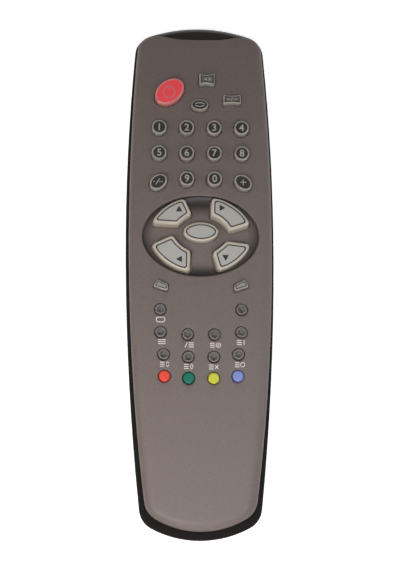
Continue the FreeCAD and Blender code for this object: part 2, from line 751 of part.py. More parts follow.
def battery_bay():
    """The hollow that holds the two cells: two round cradles over an open slot."""
    cradle = CELL_RADIUS + CELL_GAP
    height = cell_axis_z()
    half = cradle + CELL_RADIUS + CELL_GAP
    troughs = [peg(cradle, Vec(side * cradle, BAY_TAIL, height), Vec(side * cradle, BAY_FRONT, height),
                   CELL_FLAT_COUNT) for side in (-1, 1)]
    slot = box(-half, half, BAY_TAIL, BAY_FRONT, 0, height)
    rooms = []
    for y0, y1 in ((BAY_TAIL, BAY_TAIL + CONTACT_SHEET), (BAY_FRONT - CONTACT_SHEET, BAY_FRONT)):
        rooms.append(box(-half, half, y0, y1, 0, CONTACT_HEAD + FIT))
    return troughs[0].fuse([troughs[1], slot] + rooms)


def lower_case():
    """Black tray: floor, rebated rim, battery bay with cover rails, fins and the diode's cradle."""
    block = tray_block()
    inside = outline_prism(TOP, SIDE_WALL, FLOOR, HIGH)
    rebate = outline_prism(TOP, SIDE_WALL - LIP_THICKNESS - FIT, SPLIT_HEIGHT - LIP_DEPTH - FIT, HIGH)
    tray = block.cut([inside, rebate] + hooks(FIT))

    height = cell_axis_z()
    cradle = CELL_RADIUS + CELL_GAP
    half = cradle + CELL_RADIUS + CELL_GAP + BAY_WALL
    tail = BAY_TAIL - BAY_WALL
    front = BAY_FRONT + BAY_WALL
    shoulders = box(-SHOULDER_HALF_WIDTH, SHOULDER_HALF_WIDTH, TAIL_Y, front, 0, SHOULDER_HEIGHT)
    walls = box(-half, half, tail, front, 0, height)
    hoods = [peg(cradle + BAY_ROOF, Vec(side * cradle, tail, height), Vec(side * cradle, front, height),
                 CELL_FLAT_COUNT) for side in (-1, 1)]
    within = outline_prism(TOP, SIDE_WALL + FIT, 0, HIGH)
    bay = walls.fuse(hoods).common(within).fuse(shoulders.common(block))

    fins = []
    for x, y in FIN_PLACES:
        for side in (-1, 1):
            fins.append(box(side * x - FIN_THICKNESS / 2, side * x + FIN_THICKNESS / 2,
                            y - FIN_LENGTH / 2, y + FIN_LENGTH / 2, FLOOR / 2, under_board(0)))
    rib_back = DIODE_BACK_Y + DIODE_COLLAR + FIT
    rib_front = rib_back + CRADLE_THICKNESS
    diode_rib = box(-CRADLE_HALF_WIDTH, CRADLE_HALF_WIDTH, rib_back, rib_front, FLOOR / 2, DIODE_HEIGHT)
    notch = rod(DIODE_RADIUS, Vec(0, rib_back, DIODE_HEIGHT), Vec(0, rib_front, DIODE_HEIGHT))
    tray = tray.fuse([bay, diode_rib.cut(notch)] + fins)

    tabs = [tab_slot(side) for side in (-1, 1)]
    window = window_region(WINDOW_GAP, WINDOW_FOOT - WINDOW_GAP, HIGH)
    return tray.cut([battery_bay(), cover_recess(), window] + tabs).removeSplitter()


def battery_cover():
    """Panel that slides off the tail, with a rail along each side and a ribbed grip for the thumb."""
    tail_block = tray_block()
    panel = box(-COVER_HALF_WIDTH, COVER_HALF_WIDTH, TAIL_Y - OVERRUN, COVER_FRONT, 0, COVER_THICKNESS)
    reach = COVER_HALF_WIDTH + RAIL_REACH
    rails = box(-reach, reach, RAIL_TAIL, COVER_FRONT, COVER_THICKNESS - RAIL_THICKNESS, COVER_THICKNESS)
    cover = tail_block.common(panel).fuse(rails)
    grooves = []
    for index in range(GRIP_RIB_COUNT):
        y = GRIP_Y - index * GRIP_PITCH
        grooves.append(box(-GRIP_HALF_WIDTH, GRIP_HALF_WIDTH, y - GRIP_PITCH / 4, y + GRIP_PITCH / 4,
                           -OVERRUN, GRIP_DEPTH))
    return cover.cut(grooves).removeSplitter()


def ir_window():
    """Smoked window: a lens-shaped cap that closes the front end over the diode."""
    outside = top_block().fuse(tray_block())
    inside = outline_prism(TRAY, TOP_FRONT_GAP + WINDOW_WALL, 0, HIGH).common(under_arch(WINDOW_WALL))
    cap = outside.common(window_region(0, WINDOW_FOOT, HIGH))
    return cap.cut(inside).removeSplitter()


def circuit_board():
    """Phenolic board with holes for the screws and the diode's leads."""
    low = under_board(0)
    board = outline_prism(TOP, SIDE_WALL + BOARD_GAP, low, BOARD_TOP)
    board = board.common(box(-HIGH, HIGH, BOARD_TAIL, BOARD_FRONT, low, BOARD_TOP))
    holes = [peg(SCREW_RADIUS + FIT, Vec(x, y, 0), Vec(x, y, HIGH)) for x, y in boss_places()]
    half = LEAD_SIDE / 2 + FIT
    for side in (-1, 1):
        x = side * LEAD_PITCH / 2
        holes.append(box(x - half, x + half, LEAD_Y - half, LEAD_Y + half, 0, HIGH))
    return board.cut(holes)


def rows_of(keys, reach):
    """Keys in rows across the remote: those whose places along it differ by less than a reach."""
    rows = []
    for key in sorted(keys, key=lambda key: key.y):
        if rows and key.y - rows[-1][-1].y < reach:
            rows[-1].append(key)
        else:
            rows.append([key])
    return rows


def key_mat(keys):
    """Rubber sheet between keys and board, slotted under every row of keys for their contacts."""
    top = BOARD_TOP + MAT_THICKNESS
    mat = box(-MAT_HALF_WIDTH, MAT_HALF_WIDTH, MAT_TAIL, MAT_FRONT, BOARD_TOP, top)
    cuts = []
    half = POST_SIDE / 2 + MAT_HOLE_GAP
    for row in rows_of(keys, half):
        across = [key.x for key in row]
        along = [key.y for key in row]
        cuts.append(box(min(across) - half, max(across) + half,
                        min(along) - half, max(along) + half, 0, HIGH))
    notch = BOSS_RADIUS + MAT_HOLE_GAP
    for x, y in boss_places():
        cuts.append(box(x - notch, x + notch, y - notch, y + notch, 0, HIGH))
    return mat.cut(cuts)


def boss_places():
    """Places of the four screw bosses."""
    return [(x, y) for x in (-BOSS_X, BOSS_X) for y in BOSS_Y]


def screw_shank(x, y):
    low = under_board(0)
    return peg(SCREW_RADIUS, Vec(x, y, low), Vec(x, y, low + SCREW_LENGTH))


def board_screws():
    """Four self-tapping screws, put in from under the board."""
    made = []
    low = under_board(0)
    for x, y in boss_places():
        head = peg(SCREW_HEAD_RADIUS, Vec(x, y, low - SCREW_HEAD), Vec(x, y, low))
        slot = box(x - SCREW_HEAD_RADIUS, x + SCREW_HEAD_RADIUS, y - SCREW_SLOT / 2, y + SCREW_SLOT / 2,
                   0, low - SCREW_HEAD / 2)
        made.append(head.fuse(screw_shank(x, y)).cut(slot))
    return Part.makeCompound(made)


def battery_cell(side):
    """One bare cell; its nub points to the front on the left and to the tail on the right."""
    x = side * (CELL_RADIUS + CELL_GAP)
    z = cell_axis_z()
    stand_off = CONTACT_SHEET + CONTACT_GAP
    nub_y = BAY_FRONT - stand_off if side < 0 else BAY_TAIL + stand_off
    body_y = nub_y + side * CELL_NUB
    foot_y = nub_y + side * CELL_LENGTH
    body = peg(CELL_RADIUS, Vec(x, body_y, z), Vec(x, foot_y, z), CELL_FLAT_COUNT)
    nub = peg(CELL_NUB_RADIUS, Vec(x, nub_y, z), Vec(x, body_y, z))
    return body.fuse(nub)


def leaf(side, wall_y, facing):
    """Bowed spring leaf that stands off a contact plate and presses on a cell's foot."""
    x = side * (CELL_RADIUS + CELL_GAP)
    z = cell_axis_z()
    depth = (BAY_FRONT - BAY_TAIL) - CELL_LENGTH - 2 * CONTACT_SHEET - 2 * CONTACT_GAP
    outer = [Vec(x - LEAF_HALF_WIDTH, wall_y, z - LEAF_HALF_HEIGHT),
             Vec(x - LEAF_HALF_WIDTH, wall_y + facing * depth, z),
             Vec(x - LEAF_HALF_WIDTH, wall_y, z + LEAF_HALF_HEIGHT)]
    inner = [Vec(x - LEAF_HALF_WIDTH, wall_y, z + LEAF_HALF_HEIGHT - LEAF_THICKNESS),
             Vec(x - LEAF_HALF_WIDTH, wall_y + facing * (depth - LEAF_THICKNESS), z),
             Vec(x - LEAF_HALF_WIDTH, wall_y, z - LEAF_HALF_HEIGHT + LEAF_THICKNESS)]
    edges = [Part.Arc(*outer).toShape(), Part.makeLine(outer[2], inner[0]),
             Part.Arc(*inner).toShape(), Part.makeLine(inner[2], outer[0])]
    return Part.Face(Part.Wire(edges)).extrude(Vec(2 * LEAF_HALF_WIDTH, 0, 0))


def front_contact(side):
    """Plate at the front of the bay with a tab that passes to the board; a leaf on the right one."""
    x = side * (CELL_RADIUS + CELL_GAP)
    plate_y = BAY_FRONT - CONTACT_SHEET
    plate = box(x - CONTACT_HALF_WIDTH, x + CONTACT_HALF_WIDTH, plate_y, BAY_FRONT,
                CONTACT_FOOT, CONTACT_HEAD)
    tab_top = under_board(FIT)
    tab = box(x - TAB_HALF_WIDTH, x + TAB_HALF_WIDTH, plate_y, BAY_FRONT + TAB_LENGTH,
              tab_top - CONTACT_SHEET, tab_top)
    pieces = [tab]
    if side > 0:
        pieces.append(leaf(side, plate_y, -1))
    return plate.fuse(pieces).removeSplitter()


def tab_slot(side):
    """Slot in the bay's front wall for a contact's tab."""
    x = side * (CELL_RADIUS + CELL_GAP)
    tab_top = under_board(FIT)
    reach = TAB_HALF_WIDTH + FIT
    return box(x - reach, x + reach, BAY_FRONT - FIT, BAY_FRONT + BAY_WALL + FIT,
               tab_top - CONTACT_SHEET - FIT, tab_top + FIT)


def bridge_contact():
    """Plate at the tail of the bay that joins the two cells, with a leaf for the left one."""
    half = CELL_RADIUS + CELL_GAP + CONTACT_HALF_WIDTH
    plate = box(-half, half, BAY_TAIL, BAY_TAIL + CONTACT_SHEET, CONTACT_FOOT, CONTACT_HEAD)
    return plate.fuse(leaf(-1, BAY_TAIL + CONTACT_SHEET, 1)).removeSplitter()


def ir_led():
    """Five millimetre diode lying along the remote, with its collar and rounded nose."""
    back = Vec(0, DIODE_BACK_Y, DIODE_HEIGHT)
    collar = peg(DIODE_COLLAR_RADIUS, back, back.add(Vec(0, DIODE_COLLAR, 0)), ROUND_FLAT_COUNT)
    body = peg(DIODE_RADIUS, back, Vec(0, DIODE_TIP_Y, DIODE_HEIGHT), ROUND_FLAT_COUNT)
    for bevel in NOSE_BEVELS:
        nose = max(body.Faces, key=lambda face: face.CenterOfMass.y)
        body = body.makeChamfer(bevel, nose.OuterWire.Edges)
    return body.fuse(collar).removeSplitter()


def ir_led_leads():
    """The diode's two square leads, bent up through the board."""
    made = []
    half = LEAD_SIDE / 2
    low = DIODE_HEIGHT - half
    for side in (-1, 1):
        x = side * LEAD_PITCH / 2
        run = box(x - half, x + half, LEAD_Y - half, DIODE_BACK_Y, low, DIODE_HEIGHT + half)
        rise = box(x - half, x + half, LEAD_Y - half, LEAD_Y + half, low, BOARD_TOP)
        made.append(run.fuse(rise).removeSplitter())
    return Part.makeCompound(made)


def under_board(depth):
    return BOARD_TOP - BOARD_THICKNESS - depth


def encoder_chip():
    """Chip under the board with a row of legs on each side."""
    half = CHIP_LENGTH / 2
    width = CHIP_WIDTH / 2
    body = box(CHIP_X - half, CHIP_X + half, CHIP_Y - width, CHIP_Y + width,
               under_board(CHIP_HEIGHT + STANDOFF), under_board(STANDOFF))
    legs = []
    for index in range(CHIP_LEG_COUNT):
        x = CHIP_X + (index - (CHIP_LEG_COUNT - 1) / 2) * CHIP_LEG_PITCH
        for side in (-1, 1):
            edge = CHIP_Y + side * width
            y0, y1 = sorted((edge, edge + side * CHIP_LEG_REACH))
            legs.append(box(x - CHIP_LEG_WIDTH / 2, x + CHIP_LEG_WIDTH / 2, y0, y1,
                            under_board(STANDOFF + CHIP_LEG_THICKNESS), under_board(0)))
    return body.fuse(legs).removeSplitter()


def resonator():
    """Flat ceramic resonator lying under the board."""
    x, y = RESONATOR_PLACE
    length, width, height = RESONATOR_SIZE
    block = box(x - length / 2, x + length / 2, y - width / 2, y + width / 2,
                under_board(height), under_board(0))
    bottom = min(block.Faces, key=lambda face: face.CenterOfMass.z)
    return block.makeChamfer(RESONATOR_EDGE, bottom.OuterWire.Edges)


def capacitor():
    """Electrolytic capacitor lying under the board."""
    x, y = CAPACITOR_PLACE
    z = under_board(CAPACITOR_RADIUS + FIT)
    half = CAPACITOR_LENGTH / 2
    return peg(CAPACITOR_RADIUS, Vec(x, y - half, z), Vec(x, y + half, z), ROUND_FLAT_COUNT)


def drive_transistor():
    """Half-round transistor lying with its flat side on the board."""
    x, y = TRANSISTOR_PLACE
    z = under_board(FIT)
    half = TRANSISTOR_LENGTH / 2
    can = rod(TRANSISTOR_RADIUS, Vec(x, y - half, z), Vec(x, y + half, z))
    return can.common(box(x - HIGH, x + HIGH, y - HIGH, y + HIGH, 0, z))


def resistors():
    """Three axial resistors with their leads bent up into the board."""
    made = []
    half = LEAD_SIDE / 2
    span = RESISTOR_LEAD_SPAN / 2
    z = under_board(RESISTOR_RADIUS + FIT)
    for x, y in RESISTOR_PLACES:
        reach = RESISTOR_LENGTH / 2
        body = peg(RESISTOR_RADIUS, Vec(x, y - reach, z), Vec(x, y + reach, z))
        wire = box(x - half, x + half, y - span, y + span, z - half, z + half)
        legs = [box(x - half, x + half, end - half, end + half, z - half, under_board(0))
                for end in (y - span, y + span)]
        made.append(body.fuse([wire] + legs).removeSplitter())
    return Part.makeCompound(made)


def save(name, shape):
    shape.exportStep("parts/" + name + ".step")


def main():
    os.makedirs("parts", exist_ok=True)
    keys = all_keys()
    for key in keys:
        save(key.name, key.solid())
    save("upper_case", upper_case(keys))
    save("lower_case", lower_case())
    save("battery_cover", battery_cover())
    save("ir_window", ir_window())
    save("circuit_board", circuit_board())
    save("key_mat", key_mat(keys))
    save("board_screws", board_screws())
    save("battery_cell_left", battery_cell(-1))
    save("battery_cell_right", battery_cell(1))
    save("positive_contact", front_contact(-1))
    save("negative_contact", front_contact(1))
    save("bridge_contact", bridge_contact())
    save("ir_led", ir_led())
    save("ir_led_leads", ir_led_leads())
    save("encoder_chip", encoder_chip())
    save("resonator", resonator())
    save("capacitor", capacitor())
    save("drive_transistor", drive_transistor())
    save("resistors", resistors())


main()
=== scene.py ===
"""TV remote control: arched lacquered face, black tray, dish of petal keys and a sliding battery cover."""
import math

import bmesh
import bpy
import numpy as np
from bpy.props import FloatProperty, FloatVectorProperty, PointerProperty
from mathutils import Matrix, Vector


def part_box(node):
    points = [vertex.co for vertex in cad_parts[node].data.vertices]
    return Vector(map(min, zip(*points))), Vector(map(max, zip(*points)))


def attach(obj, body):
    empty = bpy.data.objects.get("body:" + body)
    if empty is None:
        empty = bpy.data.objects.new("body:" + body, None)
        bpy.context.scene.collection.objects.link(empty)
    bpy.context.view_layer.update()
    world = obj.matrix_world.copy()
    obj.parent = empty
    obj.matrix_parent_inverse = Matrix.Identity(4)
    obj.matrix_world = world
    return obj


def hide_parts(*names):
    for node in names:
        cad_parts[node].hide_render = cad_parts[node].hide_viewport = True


bl_info = {
    "name": "TV Remote Control",
    "version": (1, 0, 0),
    "blender": (4, 5, 0),
    "location": "View3D > Sidebar > Remote",
    "description": "Builds the finished surfaces of a hand-held TV remote control",
    "category": "Object",
}

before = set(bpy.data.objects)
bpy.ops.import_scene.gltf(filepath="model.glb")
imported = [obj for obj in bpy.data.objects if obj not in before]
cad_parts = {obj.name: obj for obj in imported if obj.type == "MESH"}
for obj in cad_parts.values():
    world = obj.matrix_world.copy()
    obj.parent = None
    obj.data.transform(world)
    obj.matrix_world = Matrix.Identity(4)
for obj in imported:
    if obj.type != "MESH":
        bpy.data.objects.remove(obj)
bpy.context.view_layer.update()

# Lengths below are in millimetres; meshes are written in metres.
MM = 0.001

# Outline of the painted top, of tangent arcs, and its arched face
HALF_WIDTH = 27.3
FRONT_Y = 99.6
TAIL_Y = -96.7
WIDEST_Y = 16.0
FRONT_RADIUS = 56.0
TAIL_RADIUS = 33.0
SIDE_FRONT_RADIUS = 960.0
SIDE_TAIL_RADIUS = 818.0
CORNER_FRONT_RADIUS = 7.2
CORNER_TAIL_RADIUS = 8.5
FACE_HEIGHT = 20.0
ARCH_RADIUS = 1200.0
EDGE_STRETCH = 1.7
SPLIT_HEIGHT = 12.6
WALL = 2.0

# Oval dish with a domed floor
DISH_Y = 13.7
DISH_HALVES = (22.2, 15.8)
DISH_DEPTH = 1.2
DISH_DOME_RADIUS = 150.0
DISH_WALL = 1.4
DISH_COVE = (3.2, 1.1)
DISH_RIM = 0.45
DISH_SPILL = 0.3
DISH_CUT_RISE = 5.0

# Infrared window
WINDOW_FLAT = 8.0
WINDOW_TIP = 19.0
WINDOW_DEPTH = 5.3
WINDOW_TIP_DEPTH = 2.9
WINDOW_FOOT = 6.0
WINDOW_WALL = 1.8
WINDOW_GAP = 0.25
WINDOW_CUT_Y = 110.0
TRAY_STEP = 0.4

# Keys and their openings
KEY_GAP = 0.3
SMALL_GAP = 0.4
OPENING_EDGE = 0.2
CUT_FOOT = 9.0
CUT_TOP = 30.0
OVERLAP = 0.1
FLANGE = 1.0
FLANGE_MARGIN = 0.65
FLANGE_GAP = 0.1
POST_RADIUS = 1.6
DISC_DEPTH = 0.1
DIGIT_HALVES = (2.85, 2.85)
OVAL_HALVES = (3.6, 2.75)
OVAL_TILT = 38.0
POWER_HALVES = (6.3, 4.5)
POWER_TILT = 40.0
RECALL_HALVES = (3.3, 2.2)
MUTE_CORNERS = ((-3.0, -2.4), (-0.9, -1.6), (3.0, -2.4), (3.0, 2.4), (-0.9, 1.6), (-3.0, 2.4))
SOUND_CORNERS = ((-3.4, -1.85), (0.0, -1.4), (3.4, -1.85), (3.4, 1.85), (0.0, 1.4), (-3.4, 1.85))
SELECT_HALVES = (6.6, 3.75)
SMALL_HALVES = (1.95, 1.95)
COLOUR_HALVES = (2.1, 2.1)
WEDGE_PLACE = (15.2, -5.6)
WEDGE_CORNERS = ((1.1, 1.95), (-2.75, -0.1), (-2.7, -2.6), (3.05, -0.7))

# Widths of the rounded edges of the keys
POWER_EDGE = 0.4
UPPER_EDGE = 0.35
WEDGE_EDGE = 0.4
SMALL_EDGE = 0.25
COLOUR_EDGE = 0.6

# Insets of the prints on the keys, from and to where there are two, and their lines' widths
PRINT_STEP = 0.02
DISC_INSETS = (0.55, 0.6)
POWER_INSET = 0.7
RECALL_INSET = 0.45
UPPER_BORDER = (0.44, 0.78)
WEDGE_BORDER = (0.45, 0.77)
COLOUR_INSETS = (1.0, 1.6)
POWER_LINE = 0.42
RECALL_LINE = 0.36
SOUND_LINE = 0.38
MUTE_LINE = 0.34

# Cup of a small key: its inset, and how far the rings down to its bottom shrink
CUP_INSET = 0.5
CUP_SCALES = (1.0, 0.95, 0.88, 0.8, 0.7, 0.55, 0.35, 0.15)

# Petals about the middle of the dish: X where the rim's ellipse meets the lane, three points of the
# arc round the middle key, and X where the ellipse meets the side
PETAL_HALVES = (19.8, 14.9)
PETAL_PLANS = {
    "channel_up_key": (-5.9, ((-3.0, 7.7), (-6.05, 5.65), (-8.7, 3.2)), -19.1),
    "volume_up_key": (3.7, ((3.4, 7.2), (8.0, 4.6), (10.7, 0.8)), 19.2),
    "channel_down_key": (6.1, ((3.9, -6.7), (6.95, -4.6), (9.6, -2.1)), 19.3),
    "volume_down_key": (-3.8, ((-3.6, -6.2), (-7.7, -3.6), (-10.4, 0.3)), -19.2),
}
PETAL_CORNER = 1.4
PETAL_CROWN = 400.0

DIGIT_KEYS = tuple("digit_key_" + digit for digit in "0123456789")
SMALL_KEYS = ("screen_key", "source_key", "text_key", "mix_key", "clock_key", "index_key", "size_key",
              "page_key", "cancel_key", "reveal_key")
COLOUR_KEYS = ("red_key", "green_key", "yellow_key", "blue_key")
DISH_KEYS = tuple(PETAL_PLANS) + ("select_key",)

# Prints reach this far above and below the surface that carries them, and digits this far
PRINT_RISE = 0.02
DIGIT_RISE = 0.03

# Strokes on the two oval keys, with their width
SIGNS = {
    "dash_key": (0.32, (((-1.9, 0), (-1.35, 0)), ((-0.95, -1.2), (0.45, 1.2)), ((0.35, 0), (0.85, 0)),
                        ((1.1, 0), (1.6, 0)))),
    "plus_key": (0.35, (((-1.15, 0), (1.15, 0)), ((0, -1.15), (0, 1.15)))),
}

# Place and direction, in degrees, of the arrow on each petal
ARROWS = {
    "channel_up_key": (-8.31, 23.51, 90),
    "volume_up_key": (8.09, 24.08, 0),
    "channel_down_key": (9.24, 4.7, 270),
    "volume_down_key": (-8.21, 4.02, 180),
}
ARROW_CORNERS = ((-1.0, -1.25), (1.3, 0.0), (-1.0, 1.25))

# Battery cells
CELL_RADIUS = 5.25
CELL_NUB_RADIUS = 1.9
CELL_NUB = 0.8

# Camera at the photograph's place, for a frame of 400 by 570
FRAME_SIZE = (400, 570)
LOOK_AT = (0.0, 0.0, 17.0)
CAMERA_DISTANCE = 500.0
CAMERA_LEAN = 12.0
CAMERA_SIDE = -24.0
CAMERA_ROLL = 0.2
FOCAL_PIXELS = 1317.2
TARGET_PIXEL = (200.5, 272.4)
SENSOR = 24.0

# Lamps: name, place, width, power in watts, spread in degrees and colour; all point at LAMP_AIM
LAMPS = (
    ("overhead", (-60, -260, 480), 420, 0.285, 50, (1.0, 0.985, 0.97)),
    ("tail_fill", (0, -430, 190), 220, 0.22, 180, (1.0, 0.99, 0.98)),
    ("warm_side", (-230, -60, 230), 160, 0.14, 180, (1.0, 0.85, 0.7)),
    ("cool_side", (230, -20, 230), 160, 0.15, 180, (0.78, 0.85, 1.0)),
)
LAMP_AIM = (0, -55, 0)
FLOOR_HALF = 2000.0
FLOOR_THICKNESS = 20.0
FLOOR_GREY = 0.86
FLOOR_LIFT = 0.75
AMBIENT = 0.14

# Colour sockets of a Mix node
MIX_A, MIX_B, MIX_RESULT = 6, 7, 2

# Settings that a user would change: sizes in millimetres and colours in hex, with their descriptions
SIZES = {
    "face_edge": (2.2, "Height of the rounded edge of the painted top"),
    "key_edge": (0.4, "Radius round the top of a digit key"),
    "petal_bevel": (0.8, "Width of the sloping rim round a petal key"),
    "petal_lean": (0.7, "How much wider that rim is away from the dish's edge"),
    "petal_line": (0.48, "Width of the dark line round a petal key's top"),
    "digit_height": (2.8, "Height of the printed digits"),
    "stroke": (0.32, "Width of the lines of the figures on the face"),
    "hollow_depth": (2.1, "Depth of the cup in a small round key"),
}
COLOURS = {
    "face": ("#746965", "Lacquer of the painted top"),
    "tray": ("#140F0F", "Plastic of the tray and the battery cover"),
    "window": ("#2D2726", "Dyed acrylic of the infrared window"),
    "key_body": ("#A59E97", "Rubber of the digit keys"),
    "dark_print": ("#353230", "Dark ink on the key tops"),
    "light_print": ("#AAA7A3", "Light ink of the digits"),
    "grey_print": ("#64605D", "Grey ink on the mute and sound keys"),
    "white_print": ("#E4DFD9", "White ink of the figures on the face"),
    "petal_rim": ("#C4BBAD", "Rubber of the petal keys"),
    "petal_top": ("#B1B1AD", "Print on the petal keys"),
    "small_key": ("#7D7876", "Rubber of the small round keys"),
    "wedge_top": ("#929392", "Print on the two wedge keys"),
    "power": ("#F64F58", "Red of the power key"),
    "power_side": ("#DA8B85", "Rubber at the sides of the power key"),
    "power_rim": ("#D48A88", "Line round the top of the power key"),
    "power_figure": ("#D07C7B", "Standby figure on the power key"),
    "red": ("#EE4E3B", "Red key of the coloured row"),
    "green": ("#067360", "Green key of the coloured row"),
    "yellow": ("#CFCF48", "Yellow key of the coloured row"),
    "blue": ("#8292D8", "Blue key of the coloured row"),
}


def linear(code):
    """Linear colour of an sRGB hex value: the standard curve, one channel at a time."""
    channels = [int(code[place:place + 2], 16) / 255 for place in (1, 3, 5)]
    return tuple(c / 12.92 if c <= 0.04045 else ((c + 0.055) / 1.055) ** 2.4 for c in channels)


def add(tree, kind, inputs=(), **settings):
    """Add one shader node with its settings; inputs are pairs of socket and value or link."""
    node = tree.nodes.new("ShaderNode" + kind)
    for name, value in settings.items():
        setattr(node, name, value)
    for socket, value in inputs:
        if isinstance(value, bpy.types.NodeSocket):
            tree.links.new(value, node.inputs[socket])
        else:
            node.inputs[socket].default_value = value
    return node


# Shapes

def heading(angle):
    """Directions in the plan at angles from the X axis."""
    return np.stack([np.cos(angle), np.sin(angle)], axis=-1)


def units(vectors):
    """Vectors made one long."""
    return vectors / np.linalg.norm(vectors, axis=-1, keepdims=True)


def leftward(vectors):
    """Plan vectors turned a quarter to the left."""
    return np.stack([-vectors[..., 1], vectors[..., 0]], axis=-1)


def crossed(one, two):
    """Cross products of plan vectors."""
    return one[..., 0] * two[..., 1] - one[..., 1] * two[..., 0]


def quarter(count):
    """Steps round a quarter of a circle: 1 - cos t of the way in and 1 - sin t below its top."""
    return [(1 - math.cos(t), 1 - math.sin(t)) for t in np.linspace(0, math.pi / 2, count)]


def face_z(y):
    """Height of the arched face: a circle of the arch's radius, level at the middle of the length."""
    return FACE_HEIGHT - ARCH_RADIUS + np.sqrt(ARCH_RADIUS ** 2 - np.asarray(y) ** 2)


def dish_floor(points):
    """Height of the dish's floor: a sphere of the dome's radius that rises to its middle."""
    away = points[:, 0] ** 2 + (points[:, 1] - DISH_Y) ** 2
    return face_z(DISH_Y) - DISH_DEPTH - DISH_DOME_RADIUS + np.sqrt(DISH_DOME_RADIUS ** 2 - away)


def dish_underside():
    """Flat underside of the dish, one wall below the lowest place of its floor."""
    return float(dish_floor(np.array([[DISH_HALVES[0], DISH_Y]]))[0]) - DISH_WALL


def meet(centre_a, radius_a, centre_b, radius_b):
    """Meeting point of two circles that lies further from the widest place."""
    across = centre_b - centre_a
    gap = np.linalg.norm(across)
    along = (radius_a ** 2 - radius_b ** 2 + gap ** 2) / (2 * gap)
    rise = math.sqrt(radius_a ** 2 - along ** 2)
    unit = across / gap
    foot = centre_a + unit * along
    side = leftward(unit) * rise
    return max(foot + side, foot - side, key=lambda point: abs(point[1] - WIDEST_Y))


def bearing(centre, point):
    """Angle of a point seen from a centre."""
    return math.atan2(point[1] - centre[1], point[0] - centre[0])


def outline():
    """Centres, radii and directions of the top's outline of tangent arcs, anticlockwise from the tail.

    A point drawn in by an inset is its arc's centre plus (radius - inset) times its direction.
    """
    front = np.array([0.0, FRONT_Y - FRONT_RADIUS])
    tail = np.array([0.0, TAIL_Y + TAIL_RADIUS])
    side_front = np.array([HALF_WIDTH - SIDE_FRONT_RADIUS, WIDEST_Y])
    side_tail = np.array([HALF_WIDTH - SIDE_TAIL_RADIUS, WIDEST_Y])
    corner_front = meet(front, FRONT_RADIUS - CORNER_FRONT_RADIUS,
                        side_front, SIDE_FRONT_RADIUS - CORNER_FRONT_RADIUS)
    corner_tail = meet(tail, TAIL_RADIUS - CORNER_TAIL_RADIUS,
                       side_tail, SIDE_TAIL_RADIUS - CORNER_TAIL_RADIUS)
    turns = (-math.pi / 2, bearing(tail, corner_tail), bearing(side_tail, corner_tail), 0.0,
             bearing(side_front, corner_front), bearing(front, corner_front), math.pi / 2)
    arcs = ((tail, TAIL_RADIUS, 26), (corner_tail, CORNER_TAIL_RADIUS, 14),
            (side_tail, SIDE_TAIL_RADIUS, 44), (side_front, SIDE_FRONT_RADIUS, 44),
            (corner_front, CORNER_FRONT_RADIUS, 14), (front, FRONT_RADIUS, 26))
    rows = []
    for (centre, radius, count), start, stop in zip(arcs, turns[:-1], turns[1:]):
        rows += [(*centre, radius, angle) for angle in np.linspace(start, stop, count, endpoint=False)]
    x, y, radius, angle = np.array(rows + [(*front, FRONT_RADIUS, math.pi / 2)]).T
    right = np.column_stack([x, y, radius, heading(angle)])
    left = (right * (-1, 1, 1, -1, 1))[-2:0:-1]
    whole = np.vstack([right, left])
    return whole[:, :2], whole[:, 2], whole[:, 3:]


def spin(degrees):
    """Matrix that turns plan points, kept as rows, anticlockwise."""
    turn = math.radians(degrees)
    return np.array([[math.cos(turn), math.sin(turn)], [-math.sin(turn), math.cos(turn)]])


def oval(x, y, halves, tilt=0.0, count=64):
    """Points of an ellipse and its outward directions, which are the gradient of its equation."""
    circle = heading(np.linspace(0, 2 * math.pi, count, endpoint=False))
    return (circle * halves) @ spin(tilt) + (x, y), units(circle / halves) @ spin(tilt)


def rounded(corners, radii):
    """Polygon, anticlockwise, with an arc of eight points at every corner.

    Each arc starts and ends on the two edges at radius times tan(half the turn) from the corner,
    or just short of half an edge. Its centre lies square to the edge at the first of those places.
    """
    corners = np.asarray(corners, float)
    before = corners - np.roll(corners, 1, axis=0)
    after = np.roll(corners, -1, axis=0) - corners
    shorter = np.minimum(np.linalg.norm(before, axis=1), np.linalg.norm(after, axis=1))
    before, after = units(before), units(after)
    turn = np.arctan2(crossed(before, after), (before * after).sum(axis=1))
    half = np.tan(np.abs(turn) / 2)
    reach = np.minimum(half * radii, 0.49 * shorter)
    radius = np.sign(turn) * reach / half
    centre = corners - before * reach[:, None] + leftward(before) * radius[:, None]
    start = np.arctan2(-before[:, 0], before[:, 1])
    outward = heading(start[:, None] + turn[:, None] * np.linspace(0, 1, 8))
    return (centre[:, None] + radius[:, None, None] * outward).reshape(-1, 2)


def arc_through(one, middle, two, count):
    """Points of the circle through three points, from the first to the last."""
    one, middle, two = (np.asarray(point, float) for point in (one, middle, two))
    rows = np.array([middle - one, two - one]) * 2
    centre = np.linalg.solve(rows, [middle @ middle - one @ one, two @ two - one @ one])
    start, bend, stop = (bearing(centre, point) for point in (one, middle, two))
    whole = (stop - start) % (2 * math.pi)
    if (bend - start) % (2 * math.pi) > whole:
        whole -= 2 * math.pi
    return centre + np.linalg.norm(one - centre) * heading(start + np.linspace(0, whole, count))


def scaled(points, middle, scale):
    """Plan points scaled about a middle."""
    return points * scale + np.asarray(middle) * (1 - scale)


